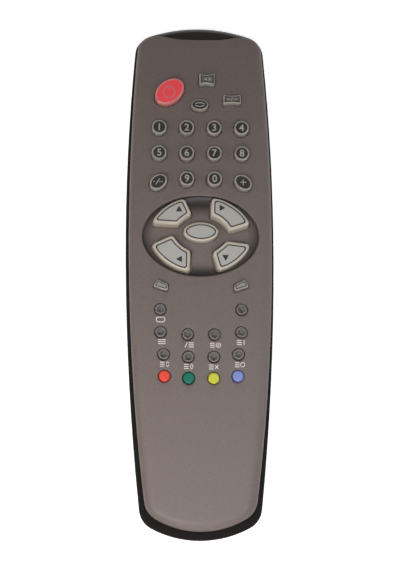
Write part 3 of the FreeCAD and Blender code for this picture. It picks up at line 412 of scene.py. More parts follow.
def drawn_in(corners, amounts):
    """Corners of a polygon, anticlockwise, whose edges move inwards, each by its own amount.

    The step x from an old corner to the new one satisfies x . n = amount for the inward normals n
    of both its edges; where they are almost in line it is the mean normal times the mean amount.
    """
    after = leftward(units(np.roll(corners, -1, axis=0) - corners))
    before = np.roll(after, 1, axis=0)
    amount_before = np.roll(amounts, 1)
    cross = crossed(before, after)
    gentle = np.abs(cross) < 0.3
    exact = np.stack([amount_before * after[:, 1] - amounts * before[:, 1],
                      amounts * before[:, 0] - amount_before * after[:, 0]], axis=1)
    exact /= np.where(gentle, 1.0, cross)[:, None]
    share = (amounts + amount_before) / 2 / (1 + (before * after).sum(axis=1))
    return corners + np.where(gentle[:, None], (before + after) * share[:, None], exact)


class OvalPlan:
    """Outline of a key on a circle or an ellipse."""

    def __init__(self, x, y, halves, tilt=0.0):
        self.points, self.outward = oval(x, y, halves, tilt)

    def ring(self, amount=0.0, lean=0.0):
        """Points of the outline drawn in by an amount; no part of an oval leans."""
        return self.points - self.outward * amount


class CornerPlan:
    """Outline of a key on a polygon with rounded corners."""

    def __init__(self, corners, radii, leaning=0.0):
        corners = np.asarray(corners, float)
        radii = np.broadcast_to(radii, len(corners))
        leaning = np.broadcast_to(leaning, len(corners))
        if crossed(corners, np.roll(corners, -1, axis=0)).sum() < 0:
            corners, radii, leaning = corners[::-1], radii[::-1], np.roll(leaning[::-1], -1)
        self.corners, self.radii, self.leaning = corners, radii, leaning

    def ring(self, amount=0.0, lean=0.0):
        """Points drawn in by an amount, and by a lean more along the edges that lean."""
        amounts = amount + lean * self.leaning
        corners = drawn_in(self.corners, amounts)
        return rounded(corners, np.maximum(self.radii - amount / 2, 0.25))


def petal(lane_x, inner, side_x):
    """Petal: an arc on the rim's ellipse, a line, an arc round the middle key and a line back.

    All its edges but those on the rim lean.
    """
    side = math.copysign(1, inner[0][1])

    def on_rim(x):
        return x, side * PETAL_HALVES[1] * math.sqrt(1 - (x / PETAL_HALVES[0]) ** 2)

    outer = arc_through(on_rim(side_x), on_rim((lane_x + side_x) / 2), on_rim(lane_x), 9)[::2]
    corners = np.vstack([outer, arc_through(*inner, 4)])
    radii = np.full(len(corners), 1000.0)
    radii[[0, len(outer) - 1, len(outer), -1]] = PETAL_CORNER
    leaning = np.ones(len(corners))
    leaning[:len(outer) - 1] = 0.0
    return CornerPlan(corners + (0, DISH_Y), radii, leaning)


def level(points, z):
    """Ring of plan points at a height, which may differ from point to point."""
    return np.column_stack([points, np.broadcast_to(z, len(points))])


def shell(rings, slots=None, crown=0):
    """Closed surface through rings of equal count, each with the material slot of the band before it.

    The first and the last ring are closed by a fan to their mean, in the first slot and the crown's.
    """
    rings = np.asarray(rings, float)
    levels, count = rings.shape[:2]
    slots = [0] * levels if slots is None else list(slots)
    verts = np.vstack([rings.reshape(-1, 3), rings[0].mean(axis=0), rings[-1].mean(axis=0)])
    here = np.arange(count)
    there = (here + 1) % count
    low = (np.arange(levels - 1) * count)[:, None]
    bands = np.stack([low + here, low + there, low + count + there, low + count + here], axis=2)
    last = (levels - 1) * count
    foot = np.stack([np.full(count, levels * count), there, here], axis=1)
    top = np.stack([np.full(count, levels * count + 1), last + here, last + there], axis=1)
    faces = bands.reshape(-1, 4).tolist() + foot.tolist() + top.tolist()
    return verts, faces, np.repeat(slots[1:] + [slots[0], crown], count)


def ribbon(path, width, low, high, closed=False):
    """Flat strip along a path: a rectangle of its width and thickness carried along it."""
    path = np.asarray(path, float)
    if closed:
        along = np.roll(path, -1, axis=0) - np.roll(path, 1, axis=0)
    else:
        along = np.gradient(path, axis=0)
    side = leftward(units(along)) * width / 2
    left, right = path - side, path + side
    verts = np.stack([level(left, low), level(left, high), level(right, high), level(right, low)], axis=1)
    count = len(path)
    here = (np.arange(count if closed else count - 1) * 4)[:, None]
    there = (here + 4) % (count * 4)
    edge = np.arange(4)
    other = (edge + 1) % 4
    sides = np.stack([here + edge, there + edge, there + other, here + other], axis=2)
    faces = sides.reshape(-1, 4).tolist()
    if not closed:
        end = (count - 1) * 4
        faces += [[0, 1, 2, 3], [end + 3, end + 2, end + 1, end]]
    return verts.reshape(-1, 3), faces


def plate(points, low, high):
    """Thin flat piece on an outline of any shape, anticlockwise."""
    points = np.asarray(points, float)
    count = len(points)
    verts = np.vstack([level(points, low), level(points, high)])
    here = np.arange(count)
    there = (here + 1) % count
    sides = np.stack([here, there, there + count, here + count], axis=1).tolist()
    return verts, [here[::-1].tolist(), (here + count).tolist()] + sides


def joined(parts):
    """One set of points, faces and slots from several, each of points, faces and slot or slots."""
    verts, faces, slots, offset = [], [], [], 0
    for part_verts, part_faces, part_slots in parts:
        verts.append(part_verts)
        faces += [[index + offset for index in face] for face in part_faces]
        slots.append(np.broadcast_to(part_slots, len(part_faces)))
        offset += len(part_verts)
    return np.vstack(verts), faces, np.concatenate(slots)


def new_piece(name, verts, faces, slots=None):
    """Mesh object from points in millimetres, its faces and their material slots."""
    mesh = bpy.data.meshes.new(name)
    mesh.from_pydata((np.asarray(verts) * MM).tolist(), [], faces)
    if slots is not None:
        mesh.polygons.foreach_set("material_index", np.asarray(slots, dtype=np.int32))
    mesh.update()
    piece = bpy.data.objects.new(name, mesh)
    bpy.context.scene.collection.objects.link(piece)
    return piece


def smooth(piece, angle=32.0):
    """Shade a piece smoothly, but for edges that turn by more than an angle in degrees."""
    mesh = piece.data
    mesh.polygons.foreach_set("use_smooth", np.ones(len(mesh.polygons), dtype=bool))
    mesh.set_sharp_from_angle(angle=math.radians(angle))
    mesh.update()
    return piece


def combine(piece, other, operation):
    """Join, keep or take away another mesh, and write the result into the piece."""
    step = piece.modifiers.new(operation, "BOOLEAN")
    step.operation = operation
    step.object = other
    step.solver = "EXACT"
    graph = bpy.context.evaluated_depsgraph_get()
    result = bpy.data.meshes.new_from_object(piece.evaluated_get(graph))
    piece.modifiers.clear()
    old = piece.data
    piece.data = result
    bpy.data.meshes.remove(old)
    bpy.data.objects.remove(other)
    if len(result.polygons) == 0:
        raise RuntimeError(piece.name + " was cut away to nothing")


def figure(sign, height, x, y, z):
    """Solid figure of the plain built-in font, centred at a place, its height in millimetres."""
    curve = bpy.data.curves.new("figure", "FONT")
    curve.body = sign
    curve.extrude = 0.01
    curve.offset = 0.014
    holder = bpy.data.objects.new("figure", curve)
    bpy.context.scene.collection.objects.link(holder)
    graph = bpy.context.evaluated_depsgraph_get()
    mesh = bpy.data.meshes.new_from_object(holder.evaluated_get(graph))
    bpy.data.objects.remove(holder)
    bpy.data.curves.remove(curve)
    weld(mesh, 1e-5, triangles=True)
    verts = np.array([vert.co for vert in mesh.vertices])
    faces = [list(face.vertices) for face in mesh.polygons]
    bpy.data.meshes.remove(mesh)
    low, high = verts.min(axis=0), verts.max(axis=0)
    verts = (verts - (low + high) / 2) * height / (high[1] - low[1])
    verts[:, :2] += (x, y)
    verts[:, 2] = np.where(verts[:, 2] > 0, z + DIGIT_RISE, z - DIGIT_RISE)
    return verts, faces


def weld(mesh, distance, triangles=False):
    """Join points of a mesh that lie closer than a distance in metres; cut it into triangles if asked."""
    work = bmesh.new()
    work.from_mesh(mesh)
    bmesh.ops.remove_doubles(work, verts=work.verts, dist=distance)
    if triangles:
        bmesh.ops.triangulate(work, faces=work.faces)
    work.to_mesh(mesh)
    work.free()


def install(piece, body, materials, nodes=()):
    """Give a piece its materials, ride it on its body and let it stand for its CAD nodes."""
    if len(piece.data.materials):
        piece.data.materials.clear()
    for material in materials:
        piece.data.materials.append(material)
    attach(piece, body)
    if nodes:
        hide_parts(*nodes)


def merged_copy(node, name):
    """Copy of a CAD node with its loose triangles joined at their corners."""
    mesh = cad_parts[node].data.copy()
    mesh.name = name
    weld(mesh, 2e-6)
    piece = bpy.data.objects.new(name, mesh)
    bpy.context.scene.collection.objects.link(piece)
    return piece


def key_place(node):
    """Middle of a key's plan in millimetres, from its CAD node."""
    low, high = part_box(node)
    return np.array((low.x + high.x, low.y + high.y)) / 2 / MM


def key_plans():
    """Plan of every key, by its node's name."""
    ovals = {node: (DIGIT_HALVES, 0.0) for node in DIGIT_KEYS}
    ovals.update({"dash_key": (OVAL_HALVES, OVAL_TILT), "plus_key": (OVAL_HALVES, -OVAL_TILT),
                  "power_key": (POWER_HALVES, POWER_TILT), "recall_key": (RECALL_HALVES, 0.0),
                  "select_key": (SELECT_HALVES, 0.0)})
    ovals.update({node: (SMALL_HALVES, 0.0) for node in SMALL_KEYS})
    ovals.update({node: (COLOUR_HALVES, 0.0) for node in COLOUR_KEYS})
    plans = {node: OvalPlan(*key_place(node), *shape) for node, shape in ovals.items()}
    for node, corners in (("mute_key", MUTE_CORNERS), ("sound_key", SOUND_CORNERS)):
        corners = np.array(corners)
        radii = np.where(np.abs(corners[:, 0]) < 2, 3.0, 0.4)
        plans[node] = CornerPlan(corners + key_place(node), radii)
    for node, side in (("store_key", -1), ("search_key", 1)):
        plans[node] = CornerPlan((np.array(WEDGE_CORNERS) + WEDGE_PLACE) * (side, 1), 0.7)
    plans.update({node: petal(*shape) for node, shape in PETAL_PLANS.items()})
    return plans


class Key:
    """Finished key: its hidden foot, the rings from there to its crown with their slots, and its prints.

    Slots are places in the list of finishes that the key is built with.
    """

    def __init__(self, node, plan):
        low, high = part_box(node)
        self.node = node
        self.plan = plan
        self.place = key_place(node)
        self.top = high.z / MM
        self.foot = self.hidden(low.z / MM)
        self.rings = []
        self.slots = []
        self.prints = []

    def hidden(self, foot):
        """Rings of the round contact post and of the flange that keeps the key in."""
        points = self.plan.ring()
        if self.node in DISH_KEYS:
            middle = points.mean(axis=0)
            under = dish_underside() - FLANGE_GAP
        else:
            middle = self.place
            under = float(face_z(np.abs(points[:, 1]).max() + FLANGE_MARGIN)) - WALL - FLANGE_GAP
        post = middle + units(points - middle) * POST_RADIUS
        wide = self.plan.ring(-FLANGE_MARGIN)
        return [level(post, foot), level(post, under - FLANGE), level(wide, under - FLANGE),
                level(wide, under), level(points, under)]

    def grow(self, points, z, slot=0):
        """Add a ring at a height, with the material slot of the band that ends there."""
        self.rings.append(level(points, z))
        self.slots.append(slot)

    def brow(self, width, share=1.0, lean=0.0):
        """Round the edge along a quarter of an ellipse, whose height is a share of its width."""
        for inward, down in quarter(7):
            self.grow(self.plan.ring(width * inward, lean), self.top - width * share * down)

    def insets(self, *steps, lean=0.0):
        """Add rings at the top that are drawn in, each step with its amount and its slot."""
        for amount, slot in steps:
            self.grow(self.plan.ring(amount, lean), self.top, slot)

    def border(self, start, stop, edge, inside, lean=0.0):
        """Draw a line round the top from one inset to another, and fill the top inside it."""
        self.insets((start, 0), (start + PRINT_STEP, edge),
                    (stop, edge), (stop + PRINT_STEP, inside), lean=lean)

    def line(self, path, width, slot=2, closed=False, rise=PRINT_RISE):
        """Print a strip along a path about the key's place, in the third finish unless told otherwise."""
        strip = ribbon(self.place + path, width, self.top - PRINT_RISE, self.top + rise, closed)
        self.prints.append(strip + (slot,))

    def area(self, points):
        """Print a flat figure with an outline of any shape, in the third finish."""
        self.prints.append(plate(points, self.top - PRINT_RISE, self.top + PRINT_RISE) + (2,))

    def dome(self, radius):
        """Lower rings and prints by distance squared / 2 radius from the middle of the dish."""
        for points in self.rings + [part[0] for part in self.prints]:
            points[:, 2] -= (points[:, 0] ** 2 + (points[:, 1] - DISH_Y) ** 2) / (2 * radius)

    def build(self, slot, finishes, crown=0):
        """Make the rings and the prints one piece that rides on the key's body."""
        body = shell(self.foot + self.rings, [0] * len(self.foot) + self.slots, crown)
        piece = smooth(new_piece(self.node + "_top", *joined([body] + self.prints)))
        install(piece, self.node, finishes, [self.node])


def keys(*nodes):
    """Keys of the given nodes, each with its hidden foot alone."""
    plans = key_plans()
    return [Key(node, plans[node]) for node in nodes]


def housing(foot, wall, edge, step=0.0):
    """Arched shell on the top's outline, as points, faces and slots.

    From the middle of its ceiling it runs out and down the inner wall, out along the rim, up the
    outer wall, round a quarter of an ellipse and in over the face to the middle.
    """
    roll = edge * EDGE_STRETCH
    centres, radii, directions = outline()

    def ring(amount, drop=None, z=None, scale=1.0):
        points = scaled(centres + (radii - amount)[:, None] * directions, (0.0, DISH_Y), scale)
        return level(points, face_z(points[:, 1]) - drop if z is None else z)

    rings = [ring(wall, drop=wall, scale=scale) for scale in np.linspace(0.08, 1, 12)]
    rings += [ring(wall, z=foot), ring(-step, z=foot)]
    if step:
        rings += [ring(-step, z=SPLIT_HEIGHT - step), ring(0, z=SPLIT_HEIGHT)]
    rings += [ring(roll * inward, drop=edge * down) for inward, down in quarter(12)]
    rings += [ring(roll, drop=0.0, scale=scale) for scale in np.linspace(1, 0.02, 30)[1:]]
    return shell(rings)


def dish_tool():
    """What is taken out for the dish: its floor, a cove up to its wall and a broken rim."""
    points, outward = oval(0, DISH_Y, DISH_HALVES, count=144)
    cove, cove_rise = DISH_COVE
    floor = points - outward * cove
    floor_z = dish_floor(floor)
    rim = face_z(points[:, 1])
    rings = [scaled(floor, (0.0, DISH_Y), scale) for scale in np.linspace(0.05, 1, 16)]
    rings = [level(ring, dish_floor(ring)) for ring in rings]
    rings += [level(points - outward * cove * inward, floor_z + cove_rise * rise)
              for rise, inward in quarter(9)[1:]]
    rings += [level(points + outward * DISH_RIM * out, rim - DISH_RIM * down) for out, down in quarter(5)]
    beyond = points + outward * (DISH_RIM + DISH_SPILL)
    return shell(rings + [level(beyond, rim + DISH_SPILL), level(beyond, rim + DISH_CUT_RISE)])


def opening_tool(plan, gap, in_dish):
    """Upright cut round a key, with its edge broken where it meets the face."""
    edge = plan.ring(-gap)
    rings = [level(edge, CUT_FOOT)]
    if in_dish:
        return shell(rings + [level(edge, CUT_TOP)])
    for out, down in quarter(4):
        ring = plan.ring(-gap - OPENING_EDGE * out)
        rings.append(level(ring, face_z(ring[:, 1]) - OPENING_EDGE * down))
    ring = plan.ring(-gap - OPENING_EDGE - OVERLAP)
    return shell(rings + [level(ring, face_z(ring[:, 1]) + OVERLAP), level(ring, CUT_TOP)])


def window_tool(grow):
    """Plan of the infrared window as a tall block: flat in the middle, rising to a tip on each side."""
    base = FRONT_Y - WINDOW_DEPTH - grow
    tip = FRONT_Y - WINDOW_TIP_DEPTH - grow
    side = WINDOW_TIP + grow
    corners = ((-side, WINDOW_CUT_Y), (-side, tip), (-WINDOW_FLAT, base),
               (WINDOW_FLAT, base), (side, tip), (side, WINDOW_CUT_Y))
    points = rounded(corners, (0.1, 0.1, 30.0, 30.0, 0.1, 0.1))
    return shell([level(points, WINDOW_FOOT - grow), level(points, 2 * FACE_HEIGHT)])


# Finishes

def finish(name, colour, roughness, grain, depth, shade=0.06, metallic=0.0, coat=0.0, ior=1.5, tone=None):
    """Moulded or painted surface whose colour and gloss wander with a grain of a real size in mm.

    grain is the width of one grain, depth its height as bump and shade how far the colour wanders.
    tone may change the colour further: it is given the tree, the place and the colour's socket.
    """
    material = bpy.data.materials.new(name)
    material.use_nodes = True
    tree = material.node_tree
    surface = tree.nodes["Principled BSDF"]
    place = add(tree, "TexCoord").outputs["Object"]
    noise = add(tree, "TexNoise", (("Vector", place), ("Scale", 1 / (grain * MM)), ("Detail", 2.0)))
    fleck = noise.outputs["Fac"]
    dark = tuple(channel * (1 - shade) for channel in colour) + (1,)
    light = tuple(min(1.0, channel * (1 + shade)) for channel in colour) + (1,)
    mix = add(tree, "Mix", ((0, fleck), (MIX_A, dark), (MIX_B, light)), data_type="RGBA")
    paint = mix.outputs[MIX_RESULT]
    if tone:
        paint = tone(tree, place, paint)
    gloss = add(tree, "MapRange", (("Value", fleck), ("To Min", roughness - 0.05),
                                   ("To Max", roughness + 0.05)))
    bump = add(tree, "Bump", (("Height", fleck), ("Strength", 0.6), ("Distance", depth * MM)))
    for socket, value in (("Metallic", metallic), ("IOR", ior), ("Coat Weight", coat),
                          ("Coat Roughness", 0.12)):
        surface.inputs[socket].default_value = value
    for socket, link in (("Base Color", paint), ("Roughness", gloss.outputs["Result"]),
                         ("Normal", bump.outputs["Normal"])):
        tree.links.new(link, surface.inputs[socket])
    return material


def painted_dish_shade(tree, place, paint):
    """Painted shade round the inside of the dish, darkest at its rim where the cove falls into shade, and
    wider in front of and behind the petals.

    It deepens with the distance from the middle of the dish's ellipse, and with the distance along
    the remote alone; the stronger of the two counts, and nothing outside the ellipse.
    """
    middle = (0.0, DISH_Y * MM, 0.0)
    spot = add(tree, "VectorMath", ((0, place), (1, middle)), operation="SUBTRACT").outputs[0]
    halves = (DISH_HALVES[0] * MM, DISH_HALVES[1] * MM, 1000.0)
    spot = add(tree, "VectorMath", ((0, spot), (1, halves)), operation="DIVIDE").outputs[0]
    away = add(tree, "VectorMath", ((0, spot),), operation="LENGTH").outputs["Value"]
    along = add(tree, "SeparateXYZ", (("Vector", spot),)).outputs["Y"]
    along = add(tree, "Math", ((0, along), (1, 0.06)), operation="ADD").outputs[0]
    along = add(tree, "Math", ((0, along),), operation="ABSOLUTE").outputs[0]
    rim = add(tree, "MapRange", (("Value", away), ("From Min", 0.80), ("From Max", 1.0),
                                 ("To Max", 0.85))).outputs["Result"]
    ends = add(tree, "MapRange", (("Value", along), ("From Min", 0.54), ("From Max", 0.88),
                                  ("To Max", 0.9)), interpolation_type="SMOOTHSTEP").outputs["Result"]
    painted_shade = add(tree, "Math", ((0, rim), (1, ends)), operation="MAXIMUM").outputs[0]
    inside = add(tree, "Math", ((0, away), (1, 0.998)), operation="LESS_THAN").outputs[0]
    painted_shade = add(tree, "Math", ((0, painted_shade), (1, inside)), operation="MULTIPLY").outputs[0]
    # Colour of the painted shade at the dish's rim; the real cove shades it too
    dark = linear("#262221") + (1,)
    mix = add(tree, "Mix", ((0, painted_shade), (MIX_A, paint), (MIX_B, dark)), data_type="RGBA")
    return mix.outputs[MIX_RESULT]


def lacquered_abs(colour):
    """ABS moulding sprayed with a satin metallic lacquer: fine flecks and a soft, wide shine.

    Real flecks are about 0.05 mm; they are drawn 0.45 mm wide so that they show.
    """
    # Its tone paints shade round the inside of the dish
    return finish("lacquered_abs", colour, 0.48, 0.45, 0.006, shade=0.3, metallic=0.1, tone=painted_dish_shade)


def spark_eroded_abs(colour):
    """Black ABS moulded in a spark-eroded tool: a dull, even grain of about 0.3 mm."""
    return finish("spark_eroded_abs", colour, 0.8, 0.3, 0.02, shade=0.15, ior=1.35)


def smoked_acrylic(colour):
    """Acrylic dyed almost black for infrared light: deep, glossy and smooth."""
    return finish("smoked_acrylic", colour, 0.14, 3.0, 0.0005, shade=0.05, coat=0.3, ior=1.49)


def silicone(name, colour, roughness=0.5):
    """Moulded silicone rubber: satin, with faint 0.4 mm mottling from the mould."""
    return finish(name, colour, roughness, 0.4, 0.004, shade=0.05, ior=1.43)


def pad_ink(name, colour):
    """Pad-printed silicone ink: thin, even and a little glossier than the rubber."""
    return finish(name, colour, 0.42, 0.25, 0.002, shade=0.05, ior=1.45)


def plain_finish(name, code, roughness, grain=0.5, depth=0.004, metallic=0.0, coat=0.0):
    """Finish of an inner piece from its hex colour."""
    return finish(name, linear(code), roughness, grain, depth, metallic=metallic, coat=coat)


def inner_finishes():
    """Finishes of the pieces inside the case, by node name.

    Brushed nickel plate is bright and drawn along; phenolic paper board is dull brown; moulded epoxy
    is matt black; shrunk sleeve and dipped ceramic are glossy.
    """
    plate_metal = plain_finish("nickel_plated_steel", "#BDBAB2", 0.3, 0.2, 0.003, metallic=1.0)
    epoxy = plain_finish("moulded_epoxy", "#1C1C1D", 0.6)
    return {
        "circuit_board": plain_finish("phenolic_paper_board", "#7A5A30", 0.6, 0.8, 0.01),
        "key_mat": plain_finish("carbon_filled_silicone", "#3F4042", 0.65),
        "board_screws": plate_metal, "positive_contact": plate_metal, "negative_contact": plate_metal,
        "bridge_contact": plate_metal, "ir_led_leads": plate_metal,
        "ir_led": plain_finish("tinted_clear_epoxy", "#2E2A46", 0.12, 2.0, 0.0005, coat=0.5),
        "encoder_chip": epoxy, "drive_transistor": epoxy,
        "resonator": plain_finish("dipped_ceramic", "#2A5A9C", 0.3, 0.6, 0.01, coat=0.3),
        "capacitor": plain_finish("shrunk_sleeve", "#1B2036", 0.3, 0.5, 0.002, coat=0.2),
        "resistors": plain_finish("dipped_resistor_enamel", "#C8A46A", 0.35, 0.5, 0.01),
    }


def key_finishes(colours):
    """Finishes that several kinds of key share, made by the first step that asks for them."""
    kinds = {
        "body": ("digit_silicone", silicone, "key_body"),
        "dark": ("dark_pad_ink", pad_ink, "dark_print"),
        "light": ("light_pad_ink", pad_ink, "light_print"),
        "grey": ("grey_pad_ink", pad_ink, "grey_print"),
        "petal": ("petal_silicone", silicone, "petal_rim"),
        "petal_top": ("petal_pad_ink", pad_ink, "petal_top"),
        "wedge_top": ("wedge_pad_ink", pad_ink, "wedge_top"),
    }
    return {kind: bpy.data.materials.get(name) or make(name, colours[colour])
            for kind, (name, make, colour) in kinds.items()}


# Settings

def label(name):
    """Label of a setting in the panel."""
    return name.replace("_", " ").capitalize()


class RemoteSizes(bpy.types.PropertyGroup):
    """Sizes of the remote's finished surfaces."""
    __annotations__ = {name: FloatProperty(name=label(name), description=text, default=value * MM,
                                           unit="LENGTH", subtype="DISTANCE")
                       for name, (value, text) in SIZES.items()}


class RemoteColours(bpy.types.PropertyGroup):
    """Colours of the remote's finishes."""
    __annotations__ = {name: FloatVectorProperty(name=label(name), description=text, default=linear(code),
                                                 size=3, min=0, max=1, subtype="COLOR")
                       for name, (code, text) in COLOURS.items()}


def sizes_of(context):
    """Sizes in millimetres, by name."""
    return {name: getattr(context.scene.remote_sizes, name) / MM for name in SIZES}


def colours_of(context):
    """Colours as tuples, by name."""
    return {name: tuple(getattr(context.scene.remote_colours, name)) for name in COLOURS}


# Steps

class REMOTE_OT_face(bpy.types.Operator):
    """Painted top: arched shell with its dish, an opening for every key and the room for the window"""
    bl_idname = "remote.face"
    bl_label = "Painted Top"

    def execute(self, context):
        top = new_piece("painted_top", *housing(SPLIT_HEIGHT, WALL, sizes_of(context)["face_edge"]))
        boss = oval(0, DISH_Y, tuple(half + DISH_WALL for half in DISH_HALVES), count=96)[0]
        rings = [level(boss, dish_underside()), level(boss, face_z(boss[:, 1]) - WALL / 2)]
        combine(top, new_piece("dish_boss", *shell(rings)), "UNION")
        combine(top, new_piece("dish_cut", *dish_tool()), "DIFFERENCE")
        cuts = [opening_tool(plan, SMALL_GAP if node in SMALL_KEYS else KEY_GAP, node in DISH_KEYS)
                for node, plan in key_plans().items()]
        combine(top, new_piece("key_cuts", *joined(cuts)), "DIFFERENCE")
        combine(top, new_piece("window_cut", *window_tool(WINDOW_GAP)), "DIFFERENCE")
        finishes = [lacquered_abs(colours_of(context)["face"])]
        install(smooth(top), "case", finishes, ["upper_case"])
        return {"FINISHED"}


class REMOTE_OT_face_prints(bpy.types.Operator):
    """White figures printed on the face above the small keys"""
    bl_idname = "remote.face_prints"
    bl_label = "Face Prints"

    def execute(self, context):
        stroke = sizes_of(context)["stroke"]
        parts = []

        def line(x, y, points, closed=False, width=stroke):
            path = np.asarray(points, float) + (x, y)
            ground = face_z(path[:, 1])
            parts.append(ribbon(path, width, ground - PRINT_RISE, ground + PRINT_RISE, closed) + (0,))

        def page(x, y, width):
            for height in (-0.75, 0.0, 0.75):
                line(x, y, ((-width / 2, height), (width / 2, height)))

        def ring(x, y, radius):
            line(x, y, oval(0, 0, (radius, radius), count=24)[0], closed=True, width=stroke * 0.8)

        screen = rounded(((-1.6, -0.9), (1.6, -0.9), (1.6, 0.9), (-1.6, 0.9)), 0.8)
        line(-15.17, -18.72, screen, closed=True)
        page(-14.66, -27.07, 2.8)
        line(-5.6, -28.27, ((-0.45, -0.9), (0.45, 0.9)))
        page(-3.7, -28.27, 1.9)
        page(4.2, -28.34, 1.7)
        ring(6.45, -28.34, 0.85)
        line(6.45, -28.34, ((-0.4, -0.4), (0.4, 0.4)))
        page(14.3, -27.28, 1.8)
        line(16.1, -27.28, ((0, -0.9), (0, 0.9)))
        page(-14.5, -35.51, 1.7)
        for side in (1, -1):
            line(-12.5, -35.51, ((-0.5, side * 0.3), (0, side * 0.95), (0.5, side * 0.3)))
        page(-5.55, -36.35, 1.7)
        line(-3.55, -36.35, ((-0.55, 0.0), (0.0, 1.0), (0.55, 0.0), (0.0, -1.0)), closed=True)
        page(3.8, -36.51, 1.7)
        for side in (1, -1):
            line(5.8, -36.51, ((-0.6, side * -0.7), (0.6, side * 0.7)))
        page(13.5, -35.66, 1.7)
        ring(15.5, -35.66, 0.8)
        ink = pad_ink("white_pad_ink", colours_of(context)["white_print"])
        install(new_piece("face_prints", *joined(parts)), "case", [ink])
        return {"FINISHED"}


class REMOTE_OT_tray(bpy.types.Operator):
    """Black tray and its sliding battery cover, with softened edges"""
    bl_idname = "remote.tray"
    bl_label = "Tray and Battery Cover"

    def execute(self, context):
        plastic = spark_eroded_abs(colours_of(context)["tray"])
        for node, name, body in (("lower_case", "black_tray", "case"),
                                 ("battery_cover", "sliding_cover", "cover")):
            piece = smooth(merged_copy(node, name), 50.0)
            soften = piece.modifiers.new("soften", "WEIGHTED_NORMAL")
            soften.keep_sharp = True
            install(piece, body, [plastic], [node])
        return {"FINISHED"}


class REMOTE_OT_window(bpy.types.Operator):
    """Smoked infrared window that closes the front end"""
    bl_idname = "remote.window"
    bl_label = "Infrared Window"

    def execute(self, context):
        body = housing(WINDOW_FOOT, WINDOW_WALL, sizes_of(context)["face_edge"], step=TRAY_STEP)
        window = new_piece("infrared_window", *body)
        combine(window, new_piece("window_keep", *window_tool(0.0)), "INTERSECT")
        finishes = [smoked_acrylic(colours_of(context)["window"])]
        install(smooth(window), "case", finishes, ["ir_window"])
        return {"FINISHED"}


class REMOTE_OT_digit_keys(bpy.types.Operator):
    """Ten digit keys and the two oval keys beside them, each with a sunk dark print and a light figure"""
    bl_idname = "remote.digit_keys"
    bl_label = "Digit Keys"

    def execute(self, context):
        sizes = sizes_of(context)
        inks = key_finishes(colours_of(context))
        for key in keys(*DIGIT_KEYS, *SIGNS):
            key.brow(sizes["key_edge"])
            rim, disc = DISC_INSETS
            key.insets((rim, 0))
            key.top -= DISC_DEPTH
            key.insets((disc, 0), (disc + PRINT_STEP, 1))
            if key.node in SIGNS:
                width, paths = SIGNS[key.node]
                for path in paths:
                    key.line(path, width, rise=DIGIT_RISE)
            else:
                digit = figure(key.node[-1], sizes["digit_height"], *key.place, key.top)
                key.prints.append(digit + (2,))
            key.build("light_rubber", [inks["body"], inks["dark"], inks["light"]], 1)
        return {"FINISHED"}


class REMOTE_OT_upper_keys(bpy.types.Operator):
    """Power key and the three keys round it"""
    bl_idname = "remote.upper_keys"
    bl_label = "Upper Keys"

    def execute(self, context):
        colours = colours_of(context)
        inks = key_finishes(colours)
        power, recall, sound, mute = keys("power_key", "recall_key", "sound_key", "mute_key")
        power.brow(POWER_EDGE)
        power.insets((POWER_EDGE + PRINT_STEP, 1), (POWER_INSET, 1), (POWER_INSET + PRINT_STEP, 2))
        power.line(oval(-0.2, -0.4, (2.3, 2.3))[0], POWER_LINE, 3, closed=True)
        power.line(((-0.2, 0.6), (-0.2, 1.7)), POWER_LINE, 3)
        power.build("power_red", [silicone("power_side_silicone", colours["power_side"]),
                                  pad_ink("power_rim_ink", colours["power_rim"]),
                                  pad_ink("power_red_ink", colours["power"]),
                                  pad_ink("power_figure_ink", colours["power_figure"])], 2)
        for key in (recall, sound, mute):
            key.brow(UPPER_EDGE)
        recall.insets((RECALL_INSET, 0), (RECALL_INSET + PRINT_STEP, 1))
        for side in (-1, 1):
            bow = arc_through((-1.8, side * 0.25), (0.0, side * 0.75), (1.8, side * 0.25), 9)
            recall.line(bow, RECALL_LINE)
        for path in (((-1.9, 0.0), (-0.9, 0.0)), ((-0.35, -0.5), (0.15, 0.5)), ((0.8, 0.0), (1.9, 0.0))):
            sound.line(path, SOUND_LINE)
        cone = ((-1.1, -0.3), (-0.6, -0.3), (-0.1, -0.8), (-0.1, 0.8), (-0.6, 0.3), (-1.1, 0.3))
        mute.area(mute.place + cone)
        for side in (1, -1):
            mute.line(((0.5, side * -0.6), (1.5, side * 0.6)), MUTE_LINE)
        finishes = [inks["body"], inks["dark"], inks["light"], inks["grey"]]
        recall.build("light_rubber", finishes, 1)
        for key in (sound, mute):
            key.border(*UPPER_BORDER, 1, 3)
            key.build("light_rubber", finishes, 3)
        return {"FINISHED"}


class REMOTE_OT_petals(bpy.types.Operator):
    """Four petal keys and the oval key between them, with sloping rims, dark lines and arrows"""
    bl_idname = "remote.petals"
    bl_label = "Petal Keys"

    def execute(self, context):
        sizes = sizes_of(context)
        inks = key_finishes(colours_of(context))
        bevel = sizes["petal_bevel"]
        start = bevel + 0.05
        stop = start + sizes["petal_line"]
        for key in keys(*DISH_KEYS):
            lean = 0.0 if key.node == "select_key" else sizes["petal_lean"]
            key.brow(bevel, 0.8, lean * 0.6)
            key.border(start, stop, 2, 1, lean)
            last = key.rings[-1][:, :2]
            for scale in (0.8, 0.6, 0.4, 0.2):
                key.grow(scaled(last, last.mean(axis=0), scale), key.top, 1)
            if key.node in ARROWS:
                x, y, turn = ARROWS[key.node]
                key.area(np.array(ARROW_CORNERS) @ spin(turn) + (x, y))
            key.dome(PETAL_CROWN)
            key.build("beige_rubber", [inks["petal"], inks["petal_top"], inks["dark"]], 1)
        return {"FINISHED"}


